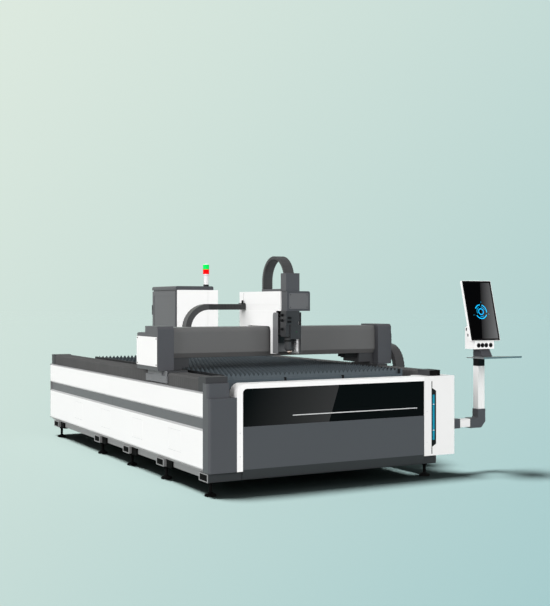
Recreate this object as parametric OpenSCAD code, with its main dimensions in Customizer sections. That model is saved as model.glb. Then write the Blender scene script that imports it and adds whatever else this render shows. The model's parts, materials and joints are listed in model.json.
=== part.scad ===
// Open flat-bed fiber laser cutting machine, modelled in millimetres with +Z up.
// X runs across the bed, Y runs along it from the front to the rear cabinet.

/* [Bed] */
// Width across the outer faces of the two long sides
bed_w = 2180; // [1800:10:2600]
// Length from the front face to the rear panel
bed_l = 4310; // [3900:10:4800]
// Height of the levelling feet below the base tubes
foot_h = 116; // [90:1:150]
// Height of the base tubes
tube_h = 64; // [50:1:100]
// Width of the base tubes along the bed
tube_w = 170; // [120:1:200]
// Wall of the base tubes
tube_t = 8; // [4:0.5:14]
// Distance between the middle base tubes
tube_pitch = 832; // [760:1:860]
// Height of the two side girders
girder_h = 620; // [540:5:700]
// Width of the left side girder
girder_w = 165; // [130:1:180]
// Wall of the side girders
girder_t = 10; // [6:0.5:16]
// Width of the lengthwise base tubes
link_w = 70; // [50:1:90]
// Radius of the round foot pads
foot_r = 45; // [30:1:60]

/* [Side panels] */
// Depth of the folded side panels, outer face to girder
panel_d = 20; // [14:0.5:30]
// Sheet thickness of the folded panels
sheet_t = 3; // [1.5:0.5:5]
// Height of the panel bottom edge above the base tubes
panel_lift = 16; // [4:1:30]
// Height of the lower panel
lower_panel_h = 316; // [260:1:360]
// Height of the recessed stripe between the panels
stripe_h = 81; // [50:1:110]
// Depth of the bevel along the panel edges
panel_bevel = 14; // [6:0.5:18]
// Width of an access hatch outline
hatch_w = 265; // [200:1:320]
// Height of an access hatch outline
hatch_h = 175; // [120:1:220]

/* [Front] */
// Width of the front left corner post
post_w = 235; // [190:1:260]
// Depth of the front left corner post
post_d = 115; // [90:1:150]
// Height of the lower part of the corner post
post_h = 570; // [500:1:600]
// Rounding of the upright edge of the corner post
post_r = 22; // [8:1:40]
// Width of the white surround at its left leg
band_w = 51; // [30:1:80]
// Height of the white surround along its top
band_h = 38; // [25:1:60]
// Depth of the white surround
band_d = 130; // [80:1:180]
// Outer corner radius of the white surround
band_r = 75; // [55:1:100]
// Rise of the surround above the girders
band_rise = 57; // [40:1:80]
// Height of the black upper front panel
glass_h = 293; // [240:1:340]
// Thickness of the black upper front panel
glass_t = 8; // [4:0.5:12]
// Height of the inward sloping skirt under the front
skirt_h = 72; // [50:1:90]
// Width of the right front cabinet
rcab_w = 315; // [260:1:380]
// Reach of the right front cabinet past the bed side
rcab_reach = 129; // [80:1:160]
// Depth of the right front cabinet
rcab_d = 200; // [160:1:260]
// Width of the light strip housing
strip_w = 47; // [36:1:60]
// Height of the light strip housing
strip_h = 506; // [450:1:540]
// Width of the lit lens
lens_w = 19; // [12:1:26]
// Height of the lit lens
lens_h = 383; // [320:1:420]

/* [Rails and covers] */
// Width of the left rail cover
cover_l = 185; // [150:1:200]
// Width of the right rail cover
cover_r = 110; // [100:1:140]
// Height of the rail covers above the girders
cover_h = 105; // [95:1:130]
// Length of one pleat of the rail covers
pleat = 40; // [36:1:70]
// Depth of one pleat
pleat_d = 7; // [3:0.5:10]
// Wall of the rail covers
cover_t = 4; // [2:0.5:5]
// Width of a guide rail
rail_w = 34; // [25:1:40]
// Height of a guide rail
rail_h = 30; // [24:1:34]
// Length of a rail end block at the rear
rear_block = 112; // [90:1:180]
// Front edge of the rail end blocks
block_y = 60; // [40:1:80]

/* [Slat table] */
// Gap from the left rail cover to the slat frame
table_gap_l = 65; // [55:1:90]
// Gap from the right rail cover to the slat frame
table_gap_r = 130; // [100:1:170]
// Front edge of the slat frame
table_y = 246; // [244:1:300]
// Distance between slats
slat_pitch = 100; // [60:1:130]
// Thickness of a slat
slat_t = 4; // [2:0.5:8]
// Height of a slat from its slot to the tooth tips
slat_h = 77; // [72:1:100]
// Distance between the teeth of a slat
tooth_pitch = 40; // [30:1:60]
// Depth of the teeth of a slat
tooth_d = 18; // [12:1:30]
// Height of the slat frame bars
bar_h = 110; // [90:1:130]
// Thickness of the slat frame bars
bar_t = 12; // [6:1:20]
// Depth of the slag trays
tray_h = 110; // [60:1:160]

/* [Gantry] */
// Front plane of the gantry at rest
gantry_y = 868; // [800:1:1000]
// Depth of the gantry end caps
cap_d = 483; // [440:1:540]
// Height of the gantry end caps
cap_h = 368; // [330:1:420]
// Width of a gantry end cap
cap_w = 146; // [130:1:180]
// Overhang of the gantry end caps past the bed sides
cap_reach = 71; // [50:1:90]
// Thickness of the white end covers
end_cover_t = 4; // [2:0.5:8]
// Depth of the beam
beam_d = 330; // [280:1:340]
// Height of the beam
beam_h = 255; // [220:1:300]
// Wall of the beam
beam_t = 12; // [8:0.5:20]
// Setback of the beam behind the gantry front plane
beam_back = 52; // [30:1:80]
// Rise of the beam above the gantry underside
beam_rise = 99; // [80:1:120]
// Length of a gantry slider along the rail
slider_l = 440; // [400:1:460]

/* [Drag chains] */
// Thickness of the two large drag chains
chain_t = 52; // [40:1:60]
// Outer bend radius of the side chain
xchain_r = 220; // [180:1:240]
// Width of the side chain
xchain_w = 100; // [70:1:110]
// Outer bend radius of the beam chain
ychain_r = 225; // [190:1:226]
// Width of the beam chain
ychain_w = 90; // [60:1:100]
// Outer bend radius of the head chain
zchain_r = 215; // [180:1:240]
// Thickness of the head chain
zchain_t = 27; // [20:1:34]
// Width of the head chain
zchain_w = 92; // [60:1:96]
// Height of the trough under the side chain
trough_h = 110; // [90:1:130]
// Links in half a turn of a chain
bend_links = 13; // [9:1:18]

/* [Carriage and head] */
// Left face of the carriage at rest
carriage_x = 990; // [900:1:1080]
// Width of the carriage
carriage_w = 260; // [230:1:300]
// Height of the carriage cover above the beam
saddle_h = 305; // [270:1:340]
// Sheet thickness of the carriage cover
saddle_t = 3; // [2:0.5:5]
// Distance from the carriage front to the gantry front plane
carriage_front = 168; // [150:1:200]
// Depth of the carriage from front to back
carriage_d = 800; // [760:1:840]
// Width of the head cover
head_w = 225; // [190:1:240]
// Depth of the head cover
head_d = 97; // [80:1:120]
// Height of the head cover
head_h = 170; // [140:1:180]
// Width of the laser head body
laser_w = 132; // [110:1:140]
// Height of the box on top of the head
topbox_h = 153; // [120:1:180]
// Radius of the lower barrel of the laser head
barrel_r = 42; // [30:1:46]
// Height of the nozzle tip above the slat tips
nozzle_gap = 128; // [122:1:140]

/* [Console] */
// Length of the sleeve on the right front cabinet
sleeve_l = 112; // [100:1:160]
// Length of the white arm tube
arm_l = 113; // [90:1:160]
// Size of the square arm and column tubes
column_s = 70; // [60:1:90]
// Height of the column above the elbow
column_h = 377; // [300:1:440]
// Height of the arm axis above the floor
arm_z = 430; // [380:1:480]
// Depth of the arm axis behind the front face
arm_y = 100; // [70:1:120]
// Width of the monitor housing
screen_w = 323; // [280:1:360]
// Height of the monitor housing along its slope
screen_h = 544; // [460:1:580]
// Thickness of the monitor housing
screen_t = 24; // [18:1:34]
// Backward lean of the monitor in degrees
screen_lean = 14.4; // [8:0.2:20]
// Width of the keyboard tray
tray_w = 420; // [360:1:480]
// Depth of the keyboard tray
tray_d = 230; // [180:1:260]
// Width of the control box under the monitor
panel_box_w = 217; // [190:1:240]
// Radius of a push button
button_r = 16; // [10:0.5:17]
// Extra distance to the last push button
button_shift = 8; // [0:1:12]
// Distance between the push buttons
button_pitch = 42; // [40:1:46]
// Stroke of a push button
button_stroke = 3.5; // [2:0.5:5]

/* [Rear cabinet] */
// Left face of the rear cabinet
cab_x = 1565; // [1300:1:1600]
// Width of the rear cabinet
cab_w = 540; // [450:1:620]
// Depth of the rear cabinet
cab_d = 765; // [600:1:900]
// Height of the rear cabinet body
cab_h = 1636; // [1400:1:1800]
// Wall of the rear cabinet
cab_t = 25; // [15:1:35]
// Gap between the bed and the rear cabinet
cab_gap = 80; // [60:1:120]
// Thickness of the rear cabinet top cap
cap_t = 46; // [30:1:60]
// Thickness of the cabinet door
door_t = 20; // [12:1:24]
// Radius of a door hinge knuckle
hinge_r = 8; // [6:0.5:10]
// Height of the laser source in the cabinet
source_h = 500; // [350:1:700]
// Radius of the tower light
tower_r = 40; // [32:1:45]
// Height of the tower light pole
pole_h = 115; // [80:1:160]
// Height of one tower light lens
tower_lens_h = 58; // [40:1:70]
// Radius of the exhaust collar
duct_r = 100; // [75:1:125]
// Length of the exhaust collar
duct_l = 70; // [50:1:74]

/* [Fits] */
// Gap at seams and welds of fixed pieces
seam = 0.2; // [0.1:0.05:0.3]
// Gap around sliding pieces
slide_gap = 0.4; // [0.3:0.05:0.8]
// Running gap of the swivel pin
pin_gap = 0.06; // [0.03:0.01:0.1]

/* [Hidden] */
$fn = 48;
base_top = foot_h + tube_h;
bed_top = base_top + girder_h;
panel_z0 = base_top + panel_lift;
panel_z1 = panel_z0 + lower_panel_h;
panel_z2 = panel_z1 + stripe_h;
panel_z3 = bed_top - sheet_t;
cover_top = bed_top + cover_h;
right_cover_x = bed_w - cover_r;
left_rail_x = 0.5 * cover_l;
right_rail_x = bed_w - 0.5 * cover_r;
right_girder_w = cover_r + 30;
girder_l_x1 = panel_d + girder_w;
girder_r_x0 = bed_w - panel_d - right_girder_w;
tube_end = bed_w - 50;
tube_front = 20;
first_tube = tube_front + tube_w / 2;
last_tube = bed_l - 240;
second_tube = last_tube - 1409 - 2 * tube_pitch;
band_top = bed_top + band_rise;
band_z0 = base_top + 4;
glass_z0 = band_top - band_h - glass_h;
rcab_x1 = bed_w + rcab_reach;
rcab_x0 = rcab_x1 - rcab_w;
strip_x = rcab_x0 + 74;
strip_z = panel_z0 + 59;
front_cover_y = rcab_d;
rear_cover_y = bed_l - 60 - rear_block;
table_x0 = cover_l + table_gap_l;
table_x1 = right_cover_x - table_gap_r;
table_end = bed_l - 827;
slat_y0 = table_y + 54;
slat_count = floor((table_end - 60 - slat_y0) / slat_pitch) + 1;
slot_z = bed_top + 40;
tip_z = slot_z + slat_h;
tooth_count = floor((table_x1 - table_x0 - 10) / tooth_pitch);
gantry_z = cover_top + 11;
cap_l_x1 = cap_w - cap_reach;
cap_r_x0 = bed_w + cap_reach - cap_w;
cap_top = gantry_z + cap_h;
cap_step_z = cap_top - 57;
cap_step_y = gantry_y + 290;
slider_y0 = gantry_y - 38;
slider_y1 = slider_y0 + slider_l;
slider_z = bed_top + rail_h + 6;
beam_y0 = gantry_y + beam_back;
beam_y1 = beam_y0 + beam_d;
beam_z0 = gantry_z + beam_rise;
beam_top = beam_z0 + beam_h;
beam_x0 = cap_l_x1 + seam;
beam_x1 = cap_r_x0 - seam;
beam_rail_low = beam_z0 + 67;
beam_rail_high = beam_z0 + 187;
beam_rail_s = 24;
tray_lip = 45;
xchain_x = bed_w + cap_reach + end_cover_t + 10;
xchain_bend_y = gantry_y + 165;
xchain_mid = xchain_r - 0.5 * chain_t;
xchain_cz = gantry_z + 179 - xchain_r;
xchain_end = gantry_y + 472;
xchain_leg = 1417;
trough_z = xchain_cz - xchain_r - 4;
trough_y0 = 560;
trough_y1 = bed_l - 60;
saddle_y0 = gantry_y - carriage_front;
saddle_y1 = saddle_y0 + carriage_d;
saddle_top = beam_top + 5 + saddle_h;
saddle_front_z = saddle_top - head_h;
carriage_x1 = carriage_x + carriage_w;
carriage_mid = carriage_x + 0.5 * carriage_w;
leg_x1 = carriage_x1 - 34;
leg_y0 = saddle_y0 + 80;
leg_y1 = beam_y0 - 35;
leg_z = beam_z0 + 21;
plate_back_y = beam_y1 + 40;
ychain_y = saddle_y1 - 130;
ychain_cz = beam_z0 + 4 + ychain_r;
ychain_mid = ychain_r - 0.5 * chain_t;
ychain_bend_x = carriage_x - 370;
ychain_leg = 500;
head_y1 = saddle_y0 - 3;
head_y0 = head_y1 - head_d;
laser_x = carriage_x + 60;
laser_y = 0.5 * (head_y0 + head_y1);
laser_top = saddle_front_z;
nozzle_z = tip_z + nozzle_gap;
slide_y0 = leg_y0 + 20;
slide_y1 = slide_y0 + 20;
zrail_y0 = slide_y1 + 18;
zrail_y1 = zrail_y0 + 14;
zchain_y1 = laser_y + 2 * (zchain_r - 0.5 * zchain_t);
zchain_mid = zchain_r - 0.5 * zchain_t;
zchain_cy = laser_y + zchain_mid;
zchain_cz = saddle_top + 91;
sleeve_x1 = rcab_x1 + sleeve_l;
elbow_x0 = sleeve_x1 + arm_l;
column_x = elbow_x0 + 124;
elbow_top = arm_z + 117;
column_top = elbow_top + column_h;
collar_h = 79;
tray_z = column_top + slide_gap + collar_h + seam;
box_z0 = tray_z + 72;
box_h = 70;
box_y0 = arm_y - 86;
box_y1 = arm_y + 44;
box_x0 = column_x - 118;
screen_x0 = column_x - 164;
screen_y0 = arm_y - 100;
screen_z0 = box_z0 + box_h;
tray_x0 = column_x - 218;
cab_y = bed_l + cab_gap;
cab_x1 = cab_x + cab_w;
cab_y1 = cab_y + cab_d;
duct_x = 600;
duct_z = base_top + 270;
tower_x = cab_x1 - 130;
hinge_x = cab_x - slide_gap - door_t;
hinge_y = cab_y1 - 14;
bend_lap = 0.5 * chain_t * tan(90 / bend_links);
tower_y = cab_y + 60;
tower_base_z = cab_h + seam + cap_t;
machine_x0 = -cap_reach - end_cover_t - seam;
machine_x1 = tray_x0 + tray_w;
machine_y0 = -tray_d;
machine_y1 = cab_y1;
origin_x = 0.5 * (machine_x0 + machine_x1);
origin_y = 0.5 * (machine_y0 + machine_y1);

WHITE = [0.93, 0.93, 0.93];
DARK = [0.28, 0.29, 0.31];
GREY = [0.46, 0.46, 0.48];
STEEL = [0.62, 0.63, 0.65];
BLACK = [0.07, 0.07, 0.08];
SLATE = [0.34, 0.39, 0.42];
TEAL = [0.16, 0.64, 0.74];
COPPER = [0.72, 0.45, 0.3];

// A box from its low and high corners
module box(lo, hi) {
  translate(lo)
    cube(hi - lo);
}

// A profile in Y and Z, drawn out along X
module along_x(points, x0, x1) {
  translate([x0, 0, 0])
    rotate([90, 0, 90])
      linear_extrude(height = x1 - x0)
        polygon(points);
}

// A profile in X and Z, drawn out along Y
module along_y(points, y0, y1) {
  translate([0, y1, 0])
    rotate([90, 0, 0])
      linear_extrude(height = y1 - y0)
        polygon(points);
}

// A two-dimensional child in X and Z, drawn out along Y
module drawn_y(y0, y1) {
  translate([0, y1, 0])
    rotate([90, 0, 0])
      linear_extrude(height = y1 - y0)
        children();
}

// A plate outline with one rounded upper left corner
module round_corner(x0, z0, x1, z1, r) {
  union() {
    translate([x0, z0])
      square([x1 - x0, z1 - z0 - r]);
    translate([x0 + r, z0])
      square([x1 - x0 - r, z1 - z0]);
    translate([x0 + r, z1 - r])
      circle(r);
  }
}

// A round bar along Y
module bar_y(x, z, r, y0, y1) {
  translate([x, y1, z])
    rotate([90, 0, 0])
      cylinder(r = r, h = y1 - y0);
}

// A round bar along X
module bar_x(y, z, r, x0, x1) {
  translate([x0, y, z])
    rotate([0, 90, 0])
      cylinder(r = r, h = x1 - x0);
}

// A square or oblong tube along X, open at both ends
module tube_x(lo, hi, t) {
  difference() {
    box(lo, hi);
    box([lo.x - 1, lo.y + t, lo.z + t], [hi.x + 1, hi.y - t, hi.z - t]);
  }
}

// A square or oblong tube along Y, open at both ends
module tube_y(lo, hi, t) {
  difference() {
    box(lo, hi);
    box([lo.x + t, lo.y - 1, lo.z + t], [hi.x - t, hi.y + 1, hi.z - t]);
  }
}

// Place of each base tube along the bed
function tube_y_at(i) = i == 0 ? first_tube : i == 4 ? last_tube : second_tube + (i - 1) * tube_pitch;

module base_tubes() {
  color(GREY)
    for (i = [0:4]) {
      tube_x([0, tube_y_at(i) - tube_w / 2, foot_h], [tube_end, tube_y_at(i) + tube_w / 2, base_top], tube_t);
      if (i < 4)
        for (x = [panel_d + 20, tube_end - 30 - link_w])
          tube_y(
            [x, tube_y_at(i) + tube_w / 2 + seam, foot_h + 10],
            [x + link_w, tube_y_at(i + 1) - tube_w / 2 - seam, base_top],
            tube_t
          );
    }
}

module levelling_feet() {
  color(BLACK)
    for (i = [0:4], x = [60, tube_end - 60])
      translate([x, tube_y_at(i), 0]) {
        cylinder(r = foot_r, h = 14);
        translate([0, 0, 14])
          cylinder(r1 = foot_r, r2 = 20, h = 12);
        cylinder(r = 13, h = foot_h - seam);
        translate([0, 0, foot_h - seam - 22])
          cylinder(r = 23, h = 22, $fn = 6);
      }
}

module bed_frame() {
  color(GREY) {
    tube_y([panel_d, post_d + 10, base_top + seam], [girder_l_x1, bed_l - sheet_t - seam, bed_top], girder_t);
    tube_y(
      [girder_r_x0, rcab_d + seam, base_top + seam],
      [bed_w - panel_d, bed_l - sheet_t - seam, bed_top],
      girder_t
    );
    for (y = [rcab_d + seam, table_end + 20, bed_l - 130])
      tube_x([girder_l_x1 + seam, y, bed_top - 180], [girder_r_x0 - seam, y + 100, bed_top - 30], girder_t);
    for (i = [1:4])
      tube_x(
        [girder_l_x1 + seam, tube_y_at(i) - 60, base_top + seam],
        [girder_r_x0 - seam, tube_y_at(i) + 60, base_top + 100],
        tube_t
      );
    box([girder_l_x1 + seam, table_y, bed_top - 20], [table_x0 + bar_t + 10, table_end, bed_top]);
    box([table_x1 - bar_t - 10, table_y, bed_top - 20], [girder_r_x0 - seam, table_end, bed_top]);
  }
}

module slag_trays() {
  mid = 0.5 * (table_y + table_end);
  z = base_top + 100 + seam;
  x0 = table_x0 + bar_t + 20;
  x1 = table_x1 - bar_t - 20;
  color(STEEL)
    for (y = [[table_y + 4, mid - 4], [mid + 4, table_end - 4]])
      difference() {
        box([x0, y[0], z], [x1, y[1], z + tray_h]);
        box([x0 + sheet_t, y[0] + sheet_t, z + sheet_t], [x1 - sheet_t, y[1] - sheet_t, z + tray_h + 1]);
      }
}

// Folded panel section between two heights, outer face at X zero
function panel_fold(z0, z1) = [
  [panel_d - seam, z0], [panel_bevel, z0], [0, z0 + panel_bevel], [0, z1 - panel_bevel],
  [panel_bevel, z1], [panel_d - seam, z1], [panel_d - seam, z1 - sheet_t],
  [panel_bevel + 1, z1 - sheet_t], [sheet_t, z1 - panel_bevel - 1],
  [sheet_t, z0 + panel_bevel + 1], [panel_bevel + 1, z0 + sheet_t], [panel_d - seam, z0 + sheet_t]
];

// The two lengths of one side, with a seam between them
module panel_lengths(z0, z1, y0) {
  half = y0 + 0.508 * (bed_l - y0);
  along_y(panel_fold(z0, z1), y0, half - 1);
  along_y(panel_fold(z0, z1), half + 1, bed_l - sheet_t - seam);
}

module hatch_grooves() {
  for (i = [0:3])
    translate([0, 545 + i * 860, panel_z0 + 85])
      difference() {
        box([-1, 0, 0], [1.2, hatch_w, hatch_h]);
        box([-2, 3, 3], [2, hatch_w - 3, hatch_h - 3]);
      }
}

module side_panels() {
  color(WHITE) {
    difference() {
      panel_lengths(panel_z0, panel_z1, post_d + seam);
      hatch_grooves();
    }
    panel_lengths(panel_z2, panel_z3, post_d + seam);
    translate([bed_w, 0, 0])
      mirror([1, 0, 0]) {
        panel_lengths(panel_z0, panel_z1, rcab_d + seam);
        panel_lengths(panel_z2, panel_z3, rcab_d + seam);
      }
  }
}

// One side's recessed stripe, in two lengths
module stripe_lengths(y0) {
  half = y0 + 0.508 * (bed_l - y0);
  box([panel_bevel, y0, panel_z1 + seam], [panel_d - seam, half - 1, panel_z2 - seam]);
  box([panel_bevel, half + 1, panel_z1 + seam], [panel_d - seam, bed_l - sheet_t - seam, panel_z2 - seam]);
}

module side_stripes() {
  color(GREY) {
    stripe_lengths(post_d + seam);
    translate([bed_w, 0, 0])
      mirror([1, 0, 0])
        stripe_lengths(rcab_d + seam);
  }
}

module exhaust_collar() {
  color(GREY)
    difference() {
      bar_y(duct_x, duct_z, duct_r, bed_l + seam, bed_l + duct_l);
      bar_y(duct_x, duct_z, duct_r - sheet_t, bed_l - 10, bed_l + duct_l + 10);
    }
}

module rear_panel() {
  deck_z = bed_top + 40;
  color(GREY) {
    difference() {
      box([0, bed_l - sheet_t, panel_z0], [bed_w, bed_l, panel_z3]);
      bar_y(duct_x, duct_z, duct_r - sheet_t, bed_l - 10, bed_l + 10);
    }
    along_x(
      [
        [table_end + 20, bed_top - 30 + seam], [table_end + 20, deck_z], [bed_l - 30, deck_z],
        [bed_l - 30, bed_top - 30 + seam], [bed_l - 30 - sheet_t, bed_top - 30 + seam],
        [bed_l - 30 - sheet_t, deck_z - sheet_t], [table_end + 20 + sheet_t, deck_z - sheet_t],
        [table_end + 20 + sheet_t, bed_top - 30 + seam]
      ],
      girder_l_x1 + 5,
      girder_r_x0 - 5
    );
    box([cab_x + 120, bed_l + seam, base_top + 120], [cab_x + 260, cab_y - 10 - seam, base_top + 190]);
  }
}

module corner_post() {
  post_top = band_z0 + post_h;
  color(DARK) {
    union() {
      translate([post_r, 0, band_z0])
        cube([post_w - post_r - seam, post_d, post_h]);
      translate([0, post_r, band_z0])
        cube([post_r + 1, post_d - post_r, post_h]);
      translate([post_r, post_r, band_z0])
        cylinder(r = post_r, h = post_h);
    }
    union() {
      translate([post_r, 30, post_top + seam])
        cube([cover_l - post_r, post_d - 30, cover_top - 39 - post_top - seam]);
      translate([0, 30 + post_r, post_top + seam])
        cube([post_r + 1, post_d - 30 - post_r, cover_top - 39 - post_top - seam]);
      translate([post_r, 30 + post_r, post_top + seam])
        cylinder(r = post_r, h = cover_top - 39 - post_top - seam);
    }
  }
}

module front_surround() {
  inner_r = band_r - 40;
  color(WHITE)
    drawn_y(0, band_d)
      difference() {
        round_corner(post_w, band_z0, rcab_x0 - seam, band_top, band_r);
        round_corner(post_w + band_w, band_z0 - 1, rcab_x0 + 1, band_top - band_h, inner_r);
      }
}

module front_glass() {
  color(BLACK)
    drawn_y(6, 6 + glass_t)
      round_corner(
        post_w + band_w + seam, glass_z0, rcab_x0 - 2 * seam, band_top - band_h - seam, band_r - 40
      );
}

module front_lower_panel() {
  z1 = glass_z0 - seam;
  y0 = 3;
  y1 = tube_front - 2;
  color(DARK)
    along_x(
      [
        [y0, z1], [y0, panel_z0], [y1 - sheet_t, panel_z0 - skirt_h], [y1, panel_z0 - skirt_h],
        [y0 + sheet_t, panel_z0 + 1], [y0 + sheet_t, z1 - sheet_t], [30, z1 - sheet_t], [30, z1]
      ],
      post_w + band_w + seam,
      rcab_x0 - 2 * seam
    );
}

// Outline of the light strip housing, grown by a clearance
function strip_outline(g) = [
  [strip_x - g, strip_z - g], [strip_x + strip_w + g, strip_z + 28],
  [strip_x + strip_w + g, strip_z - 28 + strip_h], [strip_x - g, strip_z + strip_h + g]
];

module right_front_cabinet() {
  color(WHITE)
    difference() {
      box([rcab_x0, 0, band_z0], [rcab_x1, rcab_d - seam, band_top]);
      along_y(strip_outline(seam), -1, 8);
      box([strip_x + 1, -1, panel_z0 + 3], [strip_x + 6, 2, strip_z]);
      box([strip_x + 1, -1, strip_z + strip_h], [strip_x + 6, 2, band_top - 42]);
    }
}

module light_strip_housing() {
  x = strip_x + 11;
  z = panel_z0 + 121;
  color(BLACK)
    difference() {
      along_y(strip_outline(0), -1.5, 7.8);
      box([x - seam, -3, z - seam], [x + lens_w + seam, 4, z + lens_h + seam]);
    }
}

module light_strip_lens() {
  x = strip_x + 11;
  z = panel_z0 + 121;
  color(TEAL)
    for (s = [[0, 80], [84, 300], [304, lens_h]])
      box([x, -2, z + s[0]], [x + lens_w, 3.8, z + s[1]]);
}

// A guide rail with waisted sides and a rack beside it
module rail_pair(x, rack_x) {
  w = rail_w / 2;
  z = bed_top + seam;
  along_y(
    [
      [x - w, z], [x - w, z + 8], [x - w + 5, z + 13], [x - w, z + 18], [x - w, z + rail_h],
      [x + w, z + rail_h], [x + w, z + 18], [x + w - 5, z + 13], [x + w, z + 8], [x + w, z]
    ],
    front_cover_y + 10,
    rear_cover_y - 10
  );
  box([rack_x, front_cover_y + 10, z], [rack_x + 20, rear_cover_y - 10, z + rail_h - 6]);
}

module guide_rails() {
  color(STEEL) {
    rail_pair(left_rail_x, left_rail_x + rail_w / 2 + 8);
    rail_pair(right_rail_x, right_rail_x - rail_w / 2 - 26);
  }
}

module rail_end_blocks() {
  z0 = bed_top + seam;
  z1 = cover_top + 9;
  step = cover_top - 39 + seam;
  color(DARK) {
    along_x(
      [
        [block_y, step], [block_y, z1], [front_cover_y - seam, z1], [front_cover_y - seam, z0],
        [post_d + seam, z0], [post_d + seam, step]
      ],
      0,
      cover_l
    );
    box([right_cover_x, block_y - 30, band_top + seam], [bed_w, front_cover_y - seam, z1 - 8]);
    for (x = [[0, cover_l], [right_cover_x, bed_w]])
      along_x(
        [
          [rear_cover_y + seam, z0], [rear_cover_y + seam, z1 - 9], [rear_cover_y + rear_block, z1 - 9],
          [rear_cover_y + rear_block, z0]
        ],
        x[0],
        x[1]
      );
  }
}

// One ring of a pleated cover at a given inset
function pleat_ring(x0, x1, y, d) = [
  [x0 + d, y, bed_top + seam], [x0 + d, y, cover_top - d], [x1 - d, y, cover_top - d],
  [x1 - d, y, bed_top + seam], [x1 - d - cover_t, y, bed_top + seam],
  [x1 - d - cover_t, y, cover_top - d - cover_t], [x0 + d + cover_t, y, cover_top - d - cover_t],
  [x0 + d + cover_t, y, bed_top + seam]
];

// A pleated cover over a rail, folded in straight pleats
module pleated_cover(x0, x1, y0, y1) {
  n = 2 * round((y1 - y0) / pleat);
  step = (y1 - y0) / n;
  points = [for (i = [0:n]) each pleat_ring(x0, x1, y0 + i * step, i % 2 == 0 ? 1 : pleat_d)];
  walls = [for (i = [0:n - 1], k = [0:7]) [8 * i + k, 8 * i + (k + 1) % 8, 8 * i + 8 + (k + 1) % 8, 8 * i + 8 + k]];
  ends = [[for (k = [7:-1:0]) k], [for (k = [0:7]) 8 * n + k]];
  polyhedron(points = points, faces = concat(walls, ends));
}

module front_bellows() {
  color(DARK) {
    pleated_cover(0, cover_l, front_cover_y + seam, slider_y0 - seam);
    pleated_cover(right_cover_x, bed_w, front_cover_y + seam, slider_y0 - seam);
  }
}

module rear_bellows() {
  color(DARK) {
    pleated_cover(0, cover_l, slider_y1 + seam, rear_cover_y - seam);
    pleated_cover(right_cover_x, bed_w, slider_y1 + seam, rear_cover_y - seam);
  }
}

// Comb profile with one slot for each slat
function comb_top() = [
  for (i = [0:slat_count - 1])
    let (y = slat_y0 + i * slat_pitch, w = slat_t / 2 + slide_gap)
      each [[y - w, bed_top + bar_h], [y - w, slot_z], [y + w, slot_z], [y + w, bed_top + bar_h]]
];

module slat_frame() {
  z0 = bed_top + seam;
  comb = concat(
    [[table_y, z0], [table_y, bed_top + bar_h]],
    comb_top(),
    [[table_end, bed_top + bar_h], [table_end, z0]]
  );
  color(BLACK) {
    along_x(comb, table_x0, table_x0 + bar_t);
    along_x(comb, table_x1 - bar_t, table_x1);
    for (y = [table_y, table_end - bar_t])
      box(
        [table_x0 + bar_t + seam, y, z0],
        [table_x1 - bar_t - seam, y + bar_t, slot_z + 30]
      );
  }
}

// Saw-toothed outline of one slat
function slat_outline() = let (x0 = table_x0 + 0.5, x1 = table_x1 - 0.5, w = (x1 - x0) / tooth_count)
  concat(
    [[x0, slot_z + seam]],
    [
      for (k = [0:tooth_count - 1])
        each [
          [x0 + k * w, tip_z - tooth_d], [x0 + (k + 0.44) * w, tip_z],
          [x0 + (k + 0.56) * w, tip_z]
        ]
    ],
    [[x1, tip_z - tooth_d], [x1, slot_z + seam]]
  );

module slats() {
  color(SLATE)
    for (i = [0:slat_count - 1])
      along_y(slat_outline(), slat_y0 + i * slat_pitch - slat_t / 2, slat_y0 + i * slat_pitch + slat_t / 2);
}

module chain_trough() {
  x0 = bed_w + seam;
  x1 = xchain_x + xchain_w + 16;
  color(GREY)
    along_y(
      [
        [x0, trough_z], [x1, trough_z], [x1, trough_z + trough_h], [x1 - sheet_t, trough_z + trough_h],
        [x1 - sheet_t, trough_z + sheet_t], [x0 + sheet_t, trough_z + sheet_t],
        [x0 + sheet_t, trough_z + trough_h], [x0, trough_z + trough_h]
      ],
      trough_y0,
      trough_y1
    );
}

// Links of a chain: centre, direction and half length of each
function run_links(a, b, n) = [
  for (i = [0:n - 1])
    let (d = (b - a) / norm(b - a), h = norm(b - a) / (2 * n))
      [a + d * h * (2 * i + 1), d, h]
];
function bend_link_list(c, r, a0, a1, n) = let (step = (a1 - a0) / n, s = step > 0 ? 1 : -1)
  [
    for (i = [0:n - 1])
      let (a = a0 + (i + 0.5) * step)
        [c + r * [cos(a), sin(a)], s * [-sin(a), cos(a)], r * tan(abs(step) / 2)]
  ];
// Outline of a row of links, notched where the links meet
function chain_outline(links, t, hand, notch, inner) = let (last = len(links) - 1)
  concat(
    [
      for (i = [0:last])
        let (c = links[i][0], d = links[i][1], h = links[i][2], n = hand * [-d.y, d.x])
          each concat(
            [c - d * (h - (i == 0 ? 0 : notch)) + n * t / 2, c + d * (h - (i == last ? 0 : notch)) + n * t / 2],
            i == last ? [] : [c + d * h + n * (t / 2 - 1.5 * notch)]
          )
    ],
    [
      for (i = [last:-1:0])
        let (c = links[i][0], d = links[i][1], h = links[i][2], n = hand * [-d.y, d.x])
          each [c + d * (h - (i == last ? 0 : inner)) - n * t / 2, c - d * (h - (i == 0 ? 0 : inner)) - n * t / 2]
    ]
  );

// Two notched side plates with a thinner band of cross bars between them
module chain_body(links, t, w, hand) {
  side = 0.16 * w;
  linear_extrude(height = side)
    polygon(chain_outline(links, t, hand, 3, 5));
  translate([0, 0, w - side])
    linear_extrude(height = side)
      polygon(chain_outline(links, t, hand, 3, 5));
  translate([0, 0, side])
    linear_extrude(height = w - 2 * side)
      polygon(chain_outline(links, t - 12, hand, 2, 4));
}

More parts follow.
